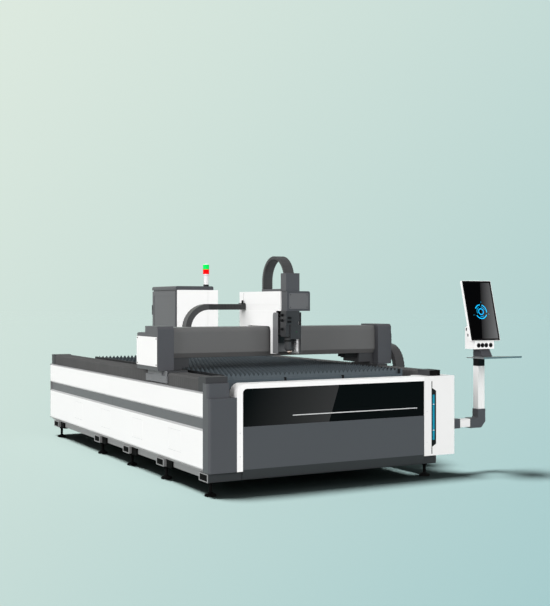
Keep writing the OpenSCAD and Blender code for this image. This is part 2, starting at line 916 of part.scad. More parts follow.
// Chains that lie in the Y and Z plane
module chain_yz(x, links, t, w, hand) {
  translate([x, 0, 0])
    rotate([90, 0, 90])
      chain_body(links, t, w, hand);
}

// Chains that lie in the X and Z plane
module chain_xz(y1, links, t, w, hand) {
  translate([0, y1, 0])
    rotate([90, 0, 0])
      chain_body(links, t, w, hand);
}

module x_chain_upper() {
  z = xchain_cz + xchain_mid;
  color(DARK)
    chain_yz(xchain_x, run_links([xchain_bend_y + bend_lap + seam, z], [xchain_end, z], 5), chain_t, xchain_w, 1);
}

module x_chain_bend() {
  c = [xchain_bend_y, xchain_cz];
  links = concat(
    run_links([c.x + xchain_leg, c.y - xchain_mid], [c.x, c.y - xchain_mid], 24),
    bend_link_list(c, xchain_mid, 270, 90, bend_links)
  );
  color(DARK)
    chain_yz(xchain_x, links, chain_t, xchain_w, 1);
}

module y_chain_upper() {
  z = ychain_cz + ychain_mid;
  color(DARK)
    chain_xz(
      ychain_y + ychain_w,
      run_links([ychain_bend_x + bend_lap + seam, z], [carriage_x - seam, z], 7),
      chain_t,
      ychain_w,
      1
    );
}

module y_chain_bend() {
  c = [ychain_bend_x, ychain_cz];
  links = concat(
    run_links([c.x + ychain_leg, c.y - ychain_mid], [c.x, c.y - ychain_mid], 9),
    bend_link_list(c, ychain_mid, 270, 90, bend_links)
  );
  color(DARK)
    chain_xz(ychain_y + ychain_w, links, chain_t, ychain_w, 1);
}

module z_chain() {
  c = [zchain_cy, zchain_cz];
  links = concat(
    run_links([c.x + zchain_mid, saddle_top + 20 + 2 * seam], [c.x + zchain_mid, c.y], 3),
    bend_link_list(c, zchain_mid, 0, 180, bend_links + 6),
    run_links([c.x - zchain_mid, c.y], [c.x - zchain_mid, saddle_top + 13], 3)
  );
  color(DARK)
    chain_yz(carriage_x + 10, links, zchain_t, zchain_w, -1);
}

// Cross section of the beam, inset by a wall
function beam_section(g) = [
  [beam_y0 + g, beam_top - 44 - 0.3 * g], [beam_y0 + g, beam_z0 + 40 + 0.3 * g],
  [beam_y0 + 25 + 0.6 * g, beam_z0 + g], [beam_y1 - 25 - 0.6 * g, beam_z0 + g],
  [beam_y1 - g, beam_z0 + 30 + 0.3 * g], [beam_y1 - g, beam_top - 25 - 0.3 * g],
  [beam_y1 - 25 - 0.6 * g, beam_top - g], [beam_y0 + 15 + 0.6 * g, beam_top - g]
];

module gantry_beam() {
  color(GREY)
    difference() {
      along_x(beam_section(0), beam_x0, beam_x1);
      along_x(beam_section(beam_t), beam_x0 - 1, beam_x1 + 1);
    }
}

module beam_rails() {
  color(STEEL)
    for (z = [beam_rail_low, beam_rail_high])
      box([beam_x0 + 5, beam_y1 + seam, z - beam_rail_s / 2], [beam_x1 - 5, beam_y1 + 22, z + beam_rail_s / 2]);
}

// A runner block that straddles the guide rail
module runner(x, y) {
  w = rail_w / 2;
  difference() {
    box([x - w - 14, y, bed_top + 4], [x + w + 5, y + 90, slider_z + 1]);
    box([x - w - slide_gap, y - 1, bed_top], [x + w + slide_gap, y + 91, bed_top + seam + rail_h + slide_gap]);
  }
}

// One slider with its skirt plate, drawn for the left side
module slider(x0, x1, rail_x, foot_x) {
  union() {
    box([x0, slider_y0, slider_z], [x1, slider_y1, gantry_z - seam]);
    box([x0 - 12, slider_y0 - 20, bed_top + 15], [x0 + 1, slider_y1 + 17, bed_top + 74]);
    box([x0 - 12, gantry_y + 55, bed_top + 70], [x0 + 1, gantry_y + 244, gantry_z - seam]);
    box([cap_l_x1 + seam, beam_y0 + 30, gantry_z - 8], [x1, beam_y1 - 30, beam_z0 - seam]);
    box([cap_l_x1 + seam, beam_y0 + 30, gantry_z + 19], [foot_x, beam_y1 - 30, beam_z0 - seam]);
    for (y = [slider_y0 + 20, slider_y1 - 110])
      runner(rail_x, y);
  }
}

module gantry_sliders() {
  color(GREY) {
    slider(-2, cover_l - 2, left_rail_x, cover_l + table_gap_l - 5);
    translate([bed_w, 0, 0])
      mirror([1, 0, 0])
        slider(-2, cover_r - 2, 0.5 * cover_r, cover_r + table_gap_r - 5);
  }
}

// Side profile of a gantry end cap
function cap_profile() = [
  [gantry_y, gantry_z], [gantry_y + cap_d, gantry_z], [gantry_y + cap_d, cap_step_z - 10],
  [gantry_y + cap_d - 27, cap_step_z], [cap_step_y, cap_step_z], [cap_step_y, cap_top],
  [gantry_y + 20, cap_top], [gantry_y, cap_top - 21]
];

module gantry_end_caps() {
  color(DARK) {
    for (x = [-cap_reach, cap_r_x0])
      difference() {
        along_x(cap_profile(), x, x + cap_w);
        box([x + 15, gantry_y + 130, gantry_z + 14], [x + cap_w - 15, gantry_y + 290, gantry_z + 270]);
      }
    box([cap_r_x0 + cap_w + seam, xchain_end - 90, xchain_cz + xchain_mid - chain_t / 2 - 8],
      [xchain_x + xchain_w, xchain_end + 8, xchain_cz + xchain_mid - chain_t / 2 - seam]);
  }
}

module gantry_end_covers() {
  x0 = -cap_reach - seam;
  x1 = cap_r_x0 + cap_w + seam;
  color(WHITE) {
    box([x0 - end_cover_t, gantry_y, gantry_z + 34], [x0, gantry_y + cap_d, gantry_z + 279]);
    difference() {
      box([x1, gantry_y, gantry_z + 34], [x1 + end_cover_t, gantry_y + cap_d, gantry_z + 279]);
      box([x1 - 1, xchain_end - 92, xchain_cz + xchain_mid - chain_t / 2 - 10],
        [x1 + end_cover_t + 1, gantry_y + cap_d + 1, xchain_cz + xchain_mid - chain_t / 2 + 2]);
    }
  }
}

module gantry_drives() {
  y = gantry_y + 210;
  color(BLACK) {
    for (x = [-cap_reach + cap_w / 2, cap_r_x0 + cap_w / 2]) {
      box([x - 45, y - 45, gantry_z + 14 + seam], [x + 45, y + 45, gantry_z + 90]);
      translate([x, y, gantry_z + 89])
        cylinder(r = 40, h = 150);
    }
    box([table_x1 - 130, beam_y0 + 60, beam_z0 - 40], [table_x1 + 5 - seam, beam_y0 + 130, beam_z0 - seam]);
    box([table_x1 - 170, beam_y0 + 70, beam_z0 - 28], [table_x1 - 130 - seam, beam_y0 + 110, beam_z0 - seam]);
  }
}

module beam_chain_tray() {
  y1 = ychain_y + ychain_w + 12;
  color(GREY)
    along_x(
      [
        [beam_y1 - 60, beam_z0 - seam], [beam_y1 - 60, beam_z0 - seam - sheet_t], [y1, beam_z0 - seam - sheet_t],
        [y1, beam_z0 + tray_lip], [y1 - sheet_t, beam_z0 + tray_lip], [y1 - sheet_t, beam_z0 - seam]
      ],
      cap_l_x1 + 190,
      cap_r_x0 - 200
    );
}

// A block that rides one beam rail, behind the beam
module beam_runner(x, z) {
  s = beam_rail_s / 2;
  difference() {
    box([x, beam_y1 + 4, z - s - 14], [x + 70, plate_back_y + 1, z + s + 14]);
    box([x - 1, beam_y1 + 3, z - s - slide_gap], [x + 71, beam_y1 + 22 + slide_gap, z + s + slide_gap]);
  }
}

module carriage_plate() {
  x0 = carriage_x + saddle_t + seam;
  x1 = carriage_x1 - saddle_t - seam;
  leg_in = leg_x1 - saddle_t - seam;
  z1 = beam_top + 48;
  cheek_y1 = leg_y0 + 56;
  cheek_z1 = beam_top + 126;
  color(STEEL) {
    union() {
      box([x0 + 17, plate_back_y, beam_z0 + 38], [x1 - 17, plate_back_y + 20, z1]);
      box([x0, zrail_y1, beam_top + 28], [leg_in, plate_back_y + 20, z1]);
      box([leg_in - 1, leg_y1 + saddle_t + seam, beam_top + 28], [x1, plate_back_y + 20, z1]);
      box([x0 + 17, zrail_y1, leg_z + 14], [leg_in - 10, zrail_y1 + 20, z1 + 32]);
      for (x = [carriage_x + 40, leg_x1 - 60])
        box([x, zrail_y0, leg_z + 19], [x + 20, zrail_y1 + 1, z1 + 32]);
      for (x = [x0 + 20, x1 - 90], z = [beam_rail_low, beam_rail_high])
        beam_runner(x, z);
    }
    for (x = [carriage_x - seam - saddle_t, leg_x1 + seam])
      along_x(
        [
          [leg_y0 - 38, leg_z + 4], [cheek_y1, leg_z + 4], [cheek_y1, cheek_z1 - 22], [cheek_y1 - 6, cheek_z1 - 7],
          [cheek_y1 - 20, cheek_z1], [leg_y0 - 38, cheek_z1]
        ],
        x,
        x + saddle_t
      );
  }
}

// Side profile of the carriage cover, inset by a wall where it is closed
function saddle_back(g) = [
  [leg_y1 + g, beam_top - 35 - g], [leg_y1 + g + 5, beam_top - 15 - g], [leg_y1 + g + 12, beam_top - 7 - g],
  [leg_y1 + g + 20, beam_top - g], [leg_y1 + g + 40, beam_top + 5 - g], [plate_back_y + 26 - g, beam_top + 5 - g],
  [plate_back_y + 26 - g, beam_z0 + 75 - g], [saddle_y1 - g, beam_z0 + 75 - g],
  [saddle_y1 - g, saddle_top - g], [saddle_y0 + g, saddle_top - g]
];
function saddle_profile(g) = concat(
  [
    [saddle_y0 + g, saddle_front_z - g], [leg_y0 - 2 * g, saddle_front_z - g], [leg_y0 - 2 * g, leg_z - g],
    [leg_y1 + g, leg_z - g]
  ],
  saddle_back(g)
);
// The same beside the leg, which is narrower than the saddle
function saddle_upper(g) = concat([[saddle_y0 + g, saddle_front_z - g], [leg_y1 + g, saddle_front_z - g]], saddle_back(g));

module carriage_cover() {
  color(WHITE)
    difference() {
      along_x(saddle_profile(0), carriage_x, carriage_x1);
      along_x(saddle_profile(saddle_t), carriage_x + saddle_t, leg_x1 - saddle_t);
      along_x(saddle_upper(saddle_t), leg_x1 - saddle_t - 1, carriage_x1 - saddle_t);
      box([leg_x1, leg_y0 - 1, leg_z - 1], [carriage_x1 + 1, leg_y1, saddle_front_z]);
      for (x = [carriage_x - 1, carriage_x1 - 1.2])
        box([x, saddle_y0 + 12, saddle_front_z], [x + 2.2, saddle_y1 - 12, saddle_front_z + 54]);
    }
}

module carriage_motor() {
  z = beam_z0 + 135;
  y = plate_back_y + 20 + seam;
  color(BLACK) {
    box([carriage_mid - 42, y, z - 42], [carriage_mid + 42, y + 50, z + 42]);
    bar_y(carriage_mid, z, 38, y + 49, y + 150);
    box(
      [carriage_mid - 30, zrail_y1 + 20 + seam, beam_top + 48 + seam],
      [carriage_mid + 30, zrail_y1 + 80, beam_top + 190]
    );
    box([carriage_x + 8, saddle_y0 + 5, saddle_top + seam], [carriage_x + 106, zchain_y1 + 14, saddle_top + 20]);
  }
}

module z_slide() {
  z0 = nozzle_z + 85;
  z1 = z0 + 260;
  color(STEEL)
    union() {
      box([carriage_x + 25, slide_y0, z0], [leg_x1 - 15, slide_y1, z1]);
      for (x = [carriage_x + 50, leg_x1 - 50], z = [z0 + 45, z0 + 135])
        difference() {
          box([x - 24, slide_y1 - 1, z], [x + 24, zrail_y1 - 4, z + 40]);
          box([x - 10 - slide_gap, zrail_y0 - slide_gap, z - 1], [x + 10 + slide_gap, zrail_y1, z + 41]);
        }
      box([carriage_x + 15, head_y1 + seam, z0 + 70], [carriage_x + 120, slide_y0 + 1, z0 + 225]);
    }
}

module head_cover() {
  x0 = carriage_x + 10;
  z0 = laser_top + seam;
  color(DARK)
    union() {
      drawn_y(head_y0, head_y1)
        union() {
          translate([x0, z0])
            square([head_w, head_h - 20]);
          translate([x0, z0])
            square([head_w - 18, head_h - 2 * seam]);
          translate([x0 + head_w - 18, z0 + head_h - 2 * seam - 18])
            circle(18);
        }
      drawn_y(head_y0 - 4, head_y0 + 1)
        union() {
          translate([x0 + 30, z0 + 18])
            square([head_w - 60, head_h - 36]);
          translate([x0 + 18, z0 + 30])
            square([head_w - 36, head_h - 60]);
          for (x = [x0 + 30, x0 + head_w - 30], z = [z0 + 30, z0 + head_h - 30])
            translate([x, z])
              circle(12);
        }
    }
}

module z_top_cover() {
  x0 = carriage_x;
  z0 = saddle_top + seam;
  color(DARK)
    difference() {
      box([x0, head_y0, z0], [x0 + laser_w, head_y1, z0 + topbox_h]);
      box([x0 + 5, head_y0 + 12, z0 + 8], [x0 + laser_w - 5, head_y1 - 5, z0 + topbox_h + 1]);
    }
}

module laser_head() {
  x0 = carriage_x;
  x1 = x0 + laser_w;
  box_z = nozzle_z + 125;
  color(DARK) {
    difference() {
      union() {
        box([x0, head_y0, box_z + 120], [x1, head_y1, laser_top - seam]);
        box([x0 + 40, head_y0 - 12, box_z], [x1 + 4, head_y1, box_z + 121]);
        box([x0, head_y0 + 6, box_z + 20], [x0 + 41, head_y1, box_z + 121]);
        translate([laser_x, laser_y, nozzle_z + 35])
          cylinder(r = barrel_r, h = box_z + 10 - nozzle_z - 35);
        translate([laser_x, laser_y, nozzle_z + 25])
          cylinder(r1 = 0.8 * barrel_r, r2 = barrel_r, h = 10.5);
      }
      box([x1 - 10, head_y0 - 20, box_z + 121], [x1 + 10, head_y1 - 12, box_z + 150]);
    }
    translate([x1 - 14, head_y0 + 20, nozzle_z + 10])
      cylinder(r = 7, h = 115 - seam);
  }
}

module nozzle() {
  color(COPPER)
    translate([laser_x, laser_y, nozzle_z])
      difference() {
        union() {
          cylinder(r1 = 8, r2 = 18, h = 14);
          translate([0, 0, 14])
            cylinder(r = 20, h = 11 - seam);
        }
        translate([0, 0, -1])
          cylinder(r = 1.5, h = 30);
      }
}

module arm_fittings() {
  s = column_s / 2 + 6;
  color(DARK) {
    box([rcab_x1 + seam, arm_y - s, arm_z - s], [sleeve_x1, arm_y + s, arm_z + s]);
    along_y(
      [
        [elbow_x0, arm_z - s - 6], [column_x + s - 46, arm_z - s - 6], [column_x + s, arm_z - s + 46],
        [column_x + s, elbow_top], [column_x - s, elbow_top], [column_x - s, arm_z + s + 8],
        [column_x - s - 8, arm_z + s],
        [elbow_x0, arm_z + s]
      ],
      arm_y - s,
      arm_y + s
    );
  }
}

module arm_tubes() {
  s = column_s / 2;
  color(WHITE) {
    tube_x([sleeve_x1 + seam, arm_y - s, arm_z - s], [elbow_x0 - seam, arm_y + s, arm_z + s], 5);
    difference() {
      translate([column_x - s, arm_y - s, elbow_top + seam])
        cube([column_s, column_s, column_h - seam]);
      translate([column_x, arm_y, column_top - 70])
        cylinder(r = 20 + pin_gap, h = 71);
      box([column_x - 4, arm_y - s - 1, elbow_top], [column_x + 4, arm_y - s + 3, column_top + 1]);
    }
  }
}

module swivel_collar() {
  s = column_s / 2 + 1;
  z0 = column_top + slide_gap;
  color(BLACK) {
    union() {
      box([column_x - s, arm_y - s, z0], [column_x + s, arm_y + s, z0 + collar_h]);
      translate([column_x, arm_y, z0 - 60])
        cylinder(r = 20, h = 61);
    }
    along_x(
      [
        [arm_y - 98, tray_z + 6 + seam], [arm_y + s, tray_z + 6 + seam], [arm_y + s, box_z0 - seam],
        [arm_y - 55, box_z0 - seam]
      ],
      column_x - s,
      column_x + s + 36
    );
  }
}

module keyboard_tray() {
  s = column_s / 2 + 4;
  color(STEEL)
    union() {
      box([tray_x0, -tray_d, tray_z], [tray_x0 + tray_w, 0, tray_z + 6]);
      box([column_x - s, -1, tray_z], [column_x + s + 36, arm_y + s, tray_z + 6]);
      box([tray_x0, -tray_d, tray_z], [tray_x0 + tray_w, -tray_d + 4, tray_z + 16]);
    }
}

// Side view of the leaning monitor housing
function monitor_profile() = let (
    up = [screen_h * sin(screen_lean), screen_h * cos(screen_lean)],
    back = screen_t * [cos(screen_lean), -sin(screen_lean)],
    p = [screen_y0, screen_z0 + 3]
  ) [p, p + up, p + up + back, p + back];

// Side view of the control box, which runs up behind the monitor
function control_box_profile() = let (y = screen_y0 + 0.5 * screen_t, z = screen_z0 + 3) [
    [box_y0, box_z0], [box_y1, box_z0], [box_y1, z + 115], [y + 160 * tan(screen_lean), z + 160], [box_y0, z]
  ];

// Places a piece on the leaning screen plane
module on_screen() {
  translate([screen_x0, screen_y0, screen_z0 + 3])
    rotate([-screen_lean, 0, 0])
      children();
}

module console_housing() {
  color(WHITE)
    difference() {
      union() {
        along_x(monitor_profile(), screen_x0, screen_x0 + screen_w);
        along_x(control_box_profile(), box_x0, box_x0 + panel_box_w);
      }
      on_screen()
        box([3 - seam, -1, 3 - seam], [screen_w - 3 + seam, 6, screen_h - 3 + seam]);
      for (i = [0:3])
        bar_y(button_x(i), button_z(), button_r + slide_gap, box_y0 - 1, box_y0 + 34);
    }
}

module screen() {
  color(BLACK)
    on_screen()
      box([3, 0.8, 3], [screen_w - 3, 6 - seam, screen_h - 3]);
}

// Centre of a push button on the control box
function button_x(i) = box_x0 + 0.5 * panel_box_w + (i - 1.5) * button_pitch + (i == 3 ? button_shift : 0);
function button_z() = box_z0 + 33;

module push_button(i) {
  color(BLACK)
    union() {
      bar_y(button_x(i), button_z(), button_r, box_y0 - 4, box_y0 + 28);
      translate([button_x(i), box_y0 - 4, button_z()])
        rotate([90, 0, 0])
          cylinder(r1 = button_r, r2 = button_r - 3, h = 2);
    }
}

module button_1() {
  push_button(0);
}

module button_2() {
  push_button(1);
}

module button_3() {
  push_button(2);
}

module button_4() {
  push_button(3);
}

// Heights of the door hinges
function hinge_zs() = [0.15 * cab_h, 0.5 * cab_h, 0.85 * cab_h];

module cabinet_shell() {
  leaf_y = hinge_y + slide_gap;
  color(GREY)
    union() {
      difference() {
        box([cab_x, cab_y, 0], [cab_x1, cab_y1, cab_h]);
        box([cab_x - 1, cab_y + cab_t, 60], [cab_x1 - cab_t, cab_y1 - cab_t, cab_h - cab_t]);
      }
      for (z = hinge_zs()) {
        translate([hinge_x, hinge_y, z - 60])
          cylinder(r = hinge_r, h = 60 - slide_gap);
        box([hinge_x, leaf_y, z - 60], [cab_x + 1, hinge_y + hinge_r, z - slide_gap]);
      }
    }
}

module cabinet_front() {
  color(WHITE) {
    box([cab_x, cab_y - 10, 20], [cab_x1 - 136, cab_y - seam, cab_h]);
    box([cab_x1 - 134, cab_y - 10, 20], [cab_x1, cab_y - seam, cab_h]);
  }
}

module cabinet_top() {
  x1 = cab_x1 - 62;
  z0 = cab_h + seam;
  r = 0.5 * cap_t;
  color(DARK)
    drawn_y(cab_y - 10, cab_y1)
      union() {
        translate([hinge_x, z0])
          square([x1 - hinge_x, cap_t - r]);
        translate([hinge_x + r, z0])
          square([x1 - hinge_x - 2 * r, cap_t]);
        for (x = [hinge_x + r, x1 - r])
          translate([x, z0 + cap_t - r])
            circle(r);
      }
}

module laser_source() {
  color(STEEL)
    box([cab_x + 60, cab_y + cab_t + 40, 60 + seam], [cab_x1 - cab_t - 20, cab_y1 - cab_t - 40, 60 + source_h]);
}

module cabinet_door() {
  x1 = cab_x - slide_gap;
  color(GREY)
    union() {
      difference() {
        box([hinge_x, cab_y + 14, 64], [x1, hinge_y, cab_h - 14]);
        box([hinge_x - 1, cab_y + 60, 120], [hinge_x + 4, cab_y1 - 60, cab_h - 70]);
        for (z = hinge_zs())
          translate([hinge_x, hinge_y, z - 60 - slide_gap])
            cylinder(r = hinge_r + slide_gap, h = 60 + slide_gap);
      }
      for (z = hinge_zs())
        translate([hinge_x, hinge_y, z])
          cylinder(r = hinge_r, h = 60);
      box([hinge_x - 4, cab_y + 28, 0.55 * cab_h], [hinge_x + 1, cab_y + 52, 0.55 * cab_h + 150]);
      box([hinge_x - 9, cab_y + 34, 0.55 * cab_h + 10], [hinge_x - 3, cab_y + 46, 0.55 * cab_h + 120]);
    }
}

module tower_pole() {
  z = tower_base_z + seam;
  color(BLACK)
    translate([tower_x, tower_y, z]) {
      union() {
        cylinder(r = tower_r - 6, h = 22);
        cylinder(r = tower_r - 10, h = pole_h + 30);
        translate([0, 0, pole_h + 20])
          cylinder(r = tower_r - 2, h = 14);
      }
      translate([0, 0, pole_h + 34 + 2 * tower_lens_h + 3 * seam])
        cylinder(r1 = tower_r - 2, r2 = tower_r - 10, h = 10);
    }
}

module tower_lens_red() {
  color([0.95, 0.1, 0.08])
    translate([tower_x, tower_y, tower_base_z + pole_h + 34 + 2 * seam])
      cylinder(r = tower_r - 2, h = tower_lens_h);
}

module tower_lens_green() {
  color([0.1, 0.9, 0.4])
    translate([tower_x, tower_y, tower_base_z + pole_h + 34 + tower_lens_h + 3 * seam])
      cylinder(r = tower_r - 2, h = tower_lens_h);
}

translate([-origin_x, -origin_y, 0]) {
  base_tubes();
  levelling_feet();
  bed_frame();
  slag_trays();
  side_panels();
  side_stripes();
  rear_panel();
  exhaust_collar();
  corner_post();
  front_surround();
  front_glass();
  front_lower_panel();
  right_front_cabinet();
  light_strip_housing();
  light_strip_lens();
  guide_rails();
  rail_end_blocks();
  front_bellows();
  rear_bellows();
  slat_frame();
  slats();
  chain_trough();
  arm_fittings();
  arm_tubes();
  cabinet_shell();
  cabinet_front();
  cabinet_top();
  laser_source();
  tower_pole();
  tower_lens_red();
  tower_lens_green();
  cabinet_door();
  gantry_beam();
  beam_rails();
  gantry_sliders();
  gantry_end_caps();
  gantry_end_covers();
  gantry_drives();
  beam_chain_tray();
  x_chain_upper();
  x_chain_bend();
  carriage_plate();
  carriage_cover();
  carriage_motor();
  y_chain_upper();
  y_chain_bend();
  z_chain();
  z_slide();
  head_cover();
  z_top_cover();
  laser_head();
  nozzle();
  swivel_collar();
  keyboard_tray();
  console_housing();
  screen();
  button_1();
  button_2();
  button_3();
  button_4();
}
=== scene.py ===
"""Looks of an open flat-bed laser cutting machine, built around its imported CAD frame."""

from __future__ import annotations

import json
import logging
import math
from dataclasses import dataclass
from enum import Enum
from functools import cache
from typing import Any, Callable, Iterable, Sequence

import bmesh
import bpy
from bmesh.types import BMesh
from bpy.types import Material, Mesh, Modifier, Node, NodeSocket, NodeTree, Object
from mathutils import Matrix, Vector

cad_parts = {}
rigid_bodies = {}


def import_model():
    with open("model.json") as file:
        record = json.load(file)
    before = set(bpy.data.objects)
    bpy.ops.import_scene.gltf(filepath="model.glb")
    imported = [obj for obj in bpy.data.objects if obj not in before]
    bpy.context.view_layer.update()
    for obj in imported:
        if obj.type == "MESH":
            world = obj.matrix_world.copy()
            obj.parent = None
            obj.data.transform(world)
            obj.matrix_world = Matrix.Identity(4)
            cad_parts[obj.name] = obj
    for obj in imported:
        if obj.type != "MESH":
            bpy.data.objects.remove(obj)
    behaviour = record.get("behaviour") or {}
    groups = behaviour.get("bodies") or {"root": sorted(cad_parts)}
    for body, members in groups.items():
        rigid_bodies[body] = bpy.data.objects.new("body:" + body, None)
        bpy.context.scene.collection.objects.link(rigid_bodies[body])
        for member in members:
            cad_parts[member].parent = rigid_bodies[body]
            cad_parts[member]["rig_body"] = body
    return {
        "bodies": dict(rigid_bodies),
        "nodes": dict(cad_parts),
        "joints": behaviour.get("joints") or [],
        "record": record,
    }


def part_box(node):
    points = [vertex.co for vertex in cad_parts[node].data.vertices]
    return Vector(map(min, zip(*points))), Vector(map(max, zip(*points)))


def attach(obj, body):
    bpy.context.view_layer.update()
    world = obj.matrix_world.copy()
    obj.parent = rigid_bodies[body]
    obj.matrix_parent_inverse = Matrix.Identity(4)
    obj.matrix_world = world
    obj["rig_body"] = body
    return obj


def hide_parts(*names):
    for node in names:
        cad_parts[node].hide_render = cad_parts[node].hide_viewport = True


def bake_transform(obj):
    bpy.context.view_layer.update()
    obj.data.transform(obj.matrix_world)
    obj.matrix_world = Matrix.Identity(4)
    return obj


LOG = logging.getLogger("laser_cutter")
# Where the drawing's zero lies from the frame's: left panel plane, front plane and floor, in mm
DRAWING_ZERO = Vector((1392.4, 2462.5, 0.0))
# Waves of Blender's wave pattern in one unit of its scale
WAVES_PER_UNIT = 20
# Edges flatter than this are shaded smooth
SMOOTH_DEG = 35.0

Point = tuple[float, float]
Corner = tuple[float, float, float]
# Low corner, high corner and width of the eased edges, in mm on the drawing
Box = tuple[Corner, Corner, float]


def srgb(code: str) -> tuple[float, float, float, float]:
    """Turns an sRGB hex colour into linear values.

    Args:
        code: Six hex digits after a hash sign.

    Returns:
        Red, green, blue and alpha, linear.
    """
    parts = [int(code[i : i + 2], 16) / 255 for i in (1, 3, 5)]
    linear = [c / 12.92 if c <= 0.04045 else ((c + 0.055) / 1.055) ** 2.4 for c in parts]
    return (linear[0], linear[1], linear[2], 1.0)


def at(x: float, y: float, z: float) -> Vector:
    """Turns a place on the drawing, in mm, into a point of the frame, in metres."""
    return (Vector((x, y, z)) - DRAWING_ZERO) / 1000


def arc(centre: Point, radius: float, start: float, stop: float, step: float) -> list[Point]:
    """Points of an arc.

    Args:
        centre: Centre in mm.
        radius: Radius in mm.
        start: First angle in degrees.
        stop: Last angle in degrees.
        step: About how far apart the points are, in degrees.

    Returns:
        The points in mm, with both ends.
    """
    count = max(2, round(abs(stop - start) / step))
    angles = [math.radians(start + (stop - start) * i / count) for i in range(count + 1)]
    return [(centre[0] + radius * math.cos(a), centre[1] + radius * math.sin(a)) for a in angles]


def add_node(
    tree: NodeTree, kind: str, inputs: dict[Any, Any] | None = None, **settings: Any
) -> Node:
    """Adds one node with its settings, values and links.

    Args:
        tree: The tree that gets the node.
        kind: Blender's name for the node type.
        inputs: Values or output sockets, by input name or number.
        settings: Properties of the node.

    Returns:
        The new node.
    """
    node = tree.nodes.new(kind)
    for key, value in settings.items():
        setattr(node, key, value)
    for key, value in (inputs or {}).items():
        if isinstance(value, NodeSocket):
            tree.links.new(value, node.inputs[key])
        else:
            node.inputs[key].default_value = value
    return node


class Axis(Enum):
    """Directions of the row frame."""

    X = Vector((1, 0, 0))
    Y = Vector((0, 1, 0))
    Z = Vector((0, 0, 1))


class Body(str, Enum):
    """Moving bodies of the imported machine."""

    BED = "bed"
    GANTRY = "gantry"
    SIDE_CHAIN = "x_chain"
    CARRIAGE = "carriage"
    BEAM_CHAIN = "y_chain"
    HEAD = "head"
    CONSOLE = "console"


def per_metre(size_mm: float) -> float:
    """Pattern scale for a detail of that size in mm."""
    return 1000 / size_mm


@dataclass(frozen=True)
class Finish:
    """A surface finish with one base colour, made into a material once."""

    name: str
    slot: str
    colour: str
    roughness: float = 0.4
    shine: float = 0.5

    def material(self) -> Material:
        """Makes the material, or finds it.

        Returns:
            The material of this finish.
        """
        found = bpy.data.materials.get(self.name)
        if found is not None:
            return found
        material = bpy.data.materials.new(self.name)
        material.use_nodes = True
        material.diffuse_color = srgb(self.colour)
        tree = material.node_tree
        tree.nodes.clear()
        look = {
            "Base Color": srgb(self.colour),
            "Roughness": self.roughness,
            "Specular IOR Level": self.shine,
        }
        shader = add_node(tree, "ShaderNodeBsdfPrincipled", look)
        add_node(tree, "ShaderNodeOutputMaterial", {"Surface": shader.outputs[0]})
        self.dress(tree, shader)
        return material

    def dress(self, tree: NodeTree, shader: Node) -> None:
        """Adds the pattern nodes of the finish to its shader."""
        raise NotImplementedError

    def tone(
        self, tree: NodeTree, shader: Node, other: str, size_mm: float, share: float
    ) -> None:
        """Varies the colour in soft patches.

        Args:
            tree: The material's tree.
            shader: The shader that takes the colour.
            other: The second colour.
            size_mm: Size of a patch.
            share: How far the patches go towards the second colour.
        """
        place = add_node(tree, "ShaderNodeTexCoord").outputs["Object"]
        cloud = {"Vector": place, "Scale": per_metre(size_mm), "Detail": 4.0}
        patches = add_node(tree, "ShaderNodeTexNoise", cloud).outputs[0]
        span = {"Value": patches, "From Min": 0.35, "From Max": 0.65, "To Max": share}
        part = add_node(tree, "ShaderNodeMapRange", span).outputs[0]
        blend = {0: part, 6: srgb(self.colour), 7: srgb(other)}
        mixed = add_node(tree, "ShaderNodeMix", blend, data_type="RGBA").outputs[2]
        tree.links.new(mixed, shader.inputs["Base Color"])

    def grain(
        self,
        tree: NodeTree,
        shader: Node,
        size_mm: float,
        depth_mm: float,
        strength: float,
        stretch: Sequence[float] = (1.0, 1.0, 1.0),
    ) -> NodeSocket:
        """Gives the surface a fine relief.

        Args:
            tree: The material's tree.
            shader: The shader that takes the relief.
            size_mm: Size of one grain.
            depth_mm: Depth of one grain.
            strength: Strength of the relief, 0 to 1.
            stretch: Scale of the pattern along each axis.

        Returns:
            The noise that makes the relief.
        """
        place = add_node(tree, "ShaderNodeTexCoord").outputs["Object"]
        scaled = {"Vector": place, "Scale": tuple(stretch)}
        stretched = add_node(tree, "ShaderNodeMapping", scaled).outputs[0]
        cloud = {"Vector": stretched, "Scale": per_metre(size_mm), "Detail": 3.0}
        noise = add_node(tree, "ShaderNodeTexNoise", cloud).outputs[0]
        bumps = {"Height": noise, "Strength": strength, "Distance": depth_mm / 1000}
        relief = add_node(tree, "ShaderNodeBump", bumps).outputs[0]
        tree.links.new(relief, shader.inputs["Normal"])
        return noise


@dataclass(frozen=True)
class PowderCoat(Finish):
    """Baked powder paint on sheet steel: satin, with a faint orange-peel relief."""

    peel_mm: float = 7.0
    shade: str = "#808080"
    drift: float = 0.06
    drift_mm: float = 600.0

    def dress(self, tree: NodeTree, shader: Node) -> None:
        """Adds the orange peel, drawn at 7 mm and not 2 mm so that it shows, and drifts of tone.

        Args:
            tree: The material's tree.
            shader: The shader that takes the pattern.
        """
        self.tone(tree, shader, self.shade, self.drift_mm, self.drift)
        peel = self.grain(tree, shader, self.peel_mm, 0.25, 0.25)
        low, high = self.roughness - 0.05, self.roughness + 0.08
        span = {"Value": peel, "To Min": low, "To Max": high}
        gloss = add_node(tree, "ShaderNodeMapRange", span).outputs[0]
        tree.links.new(gloss, shader.inputs["Roughness"])


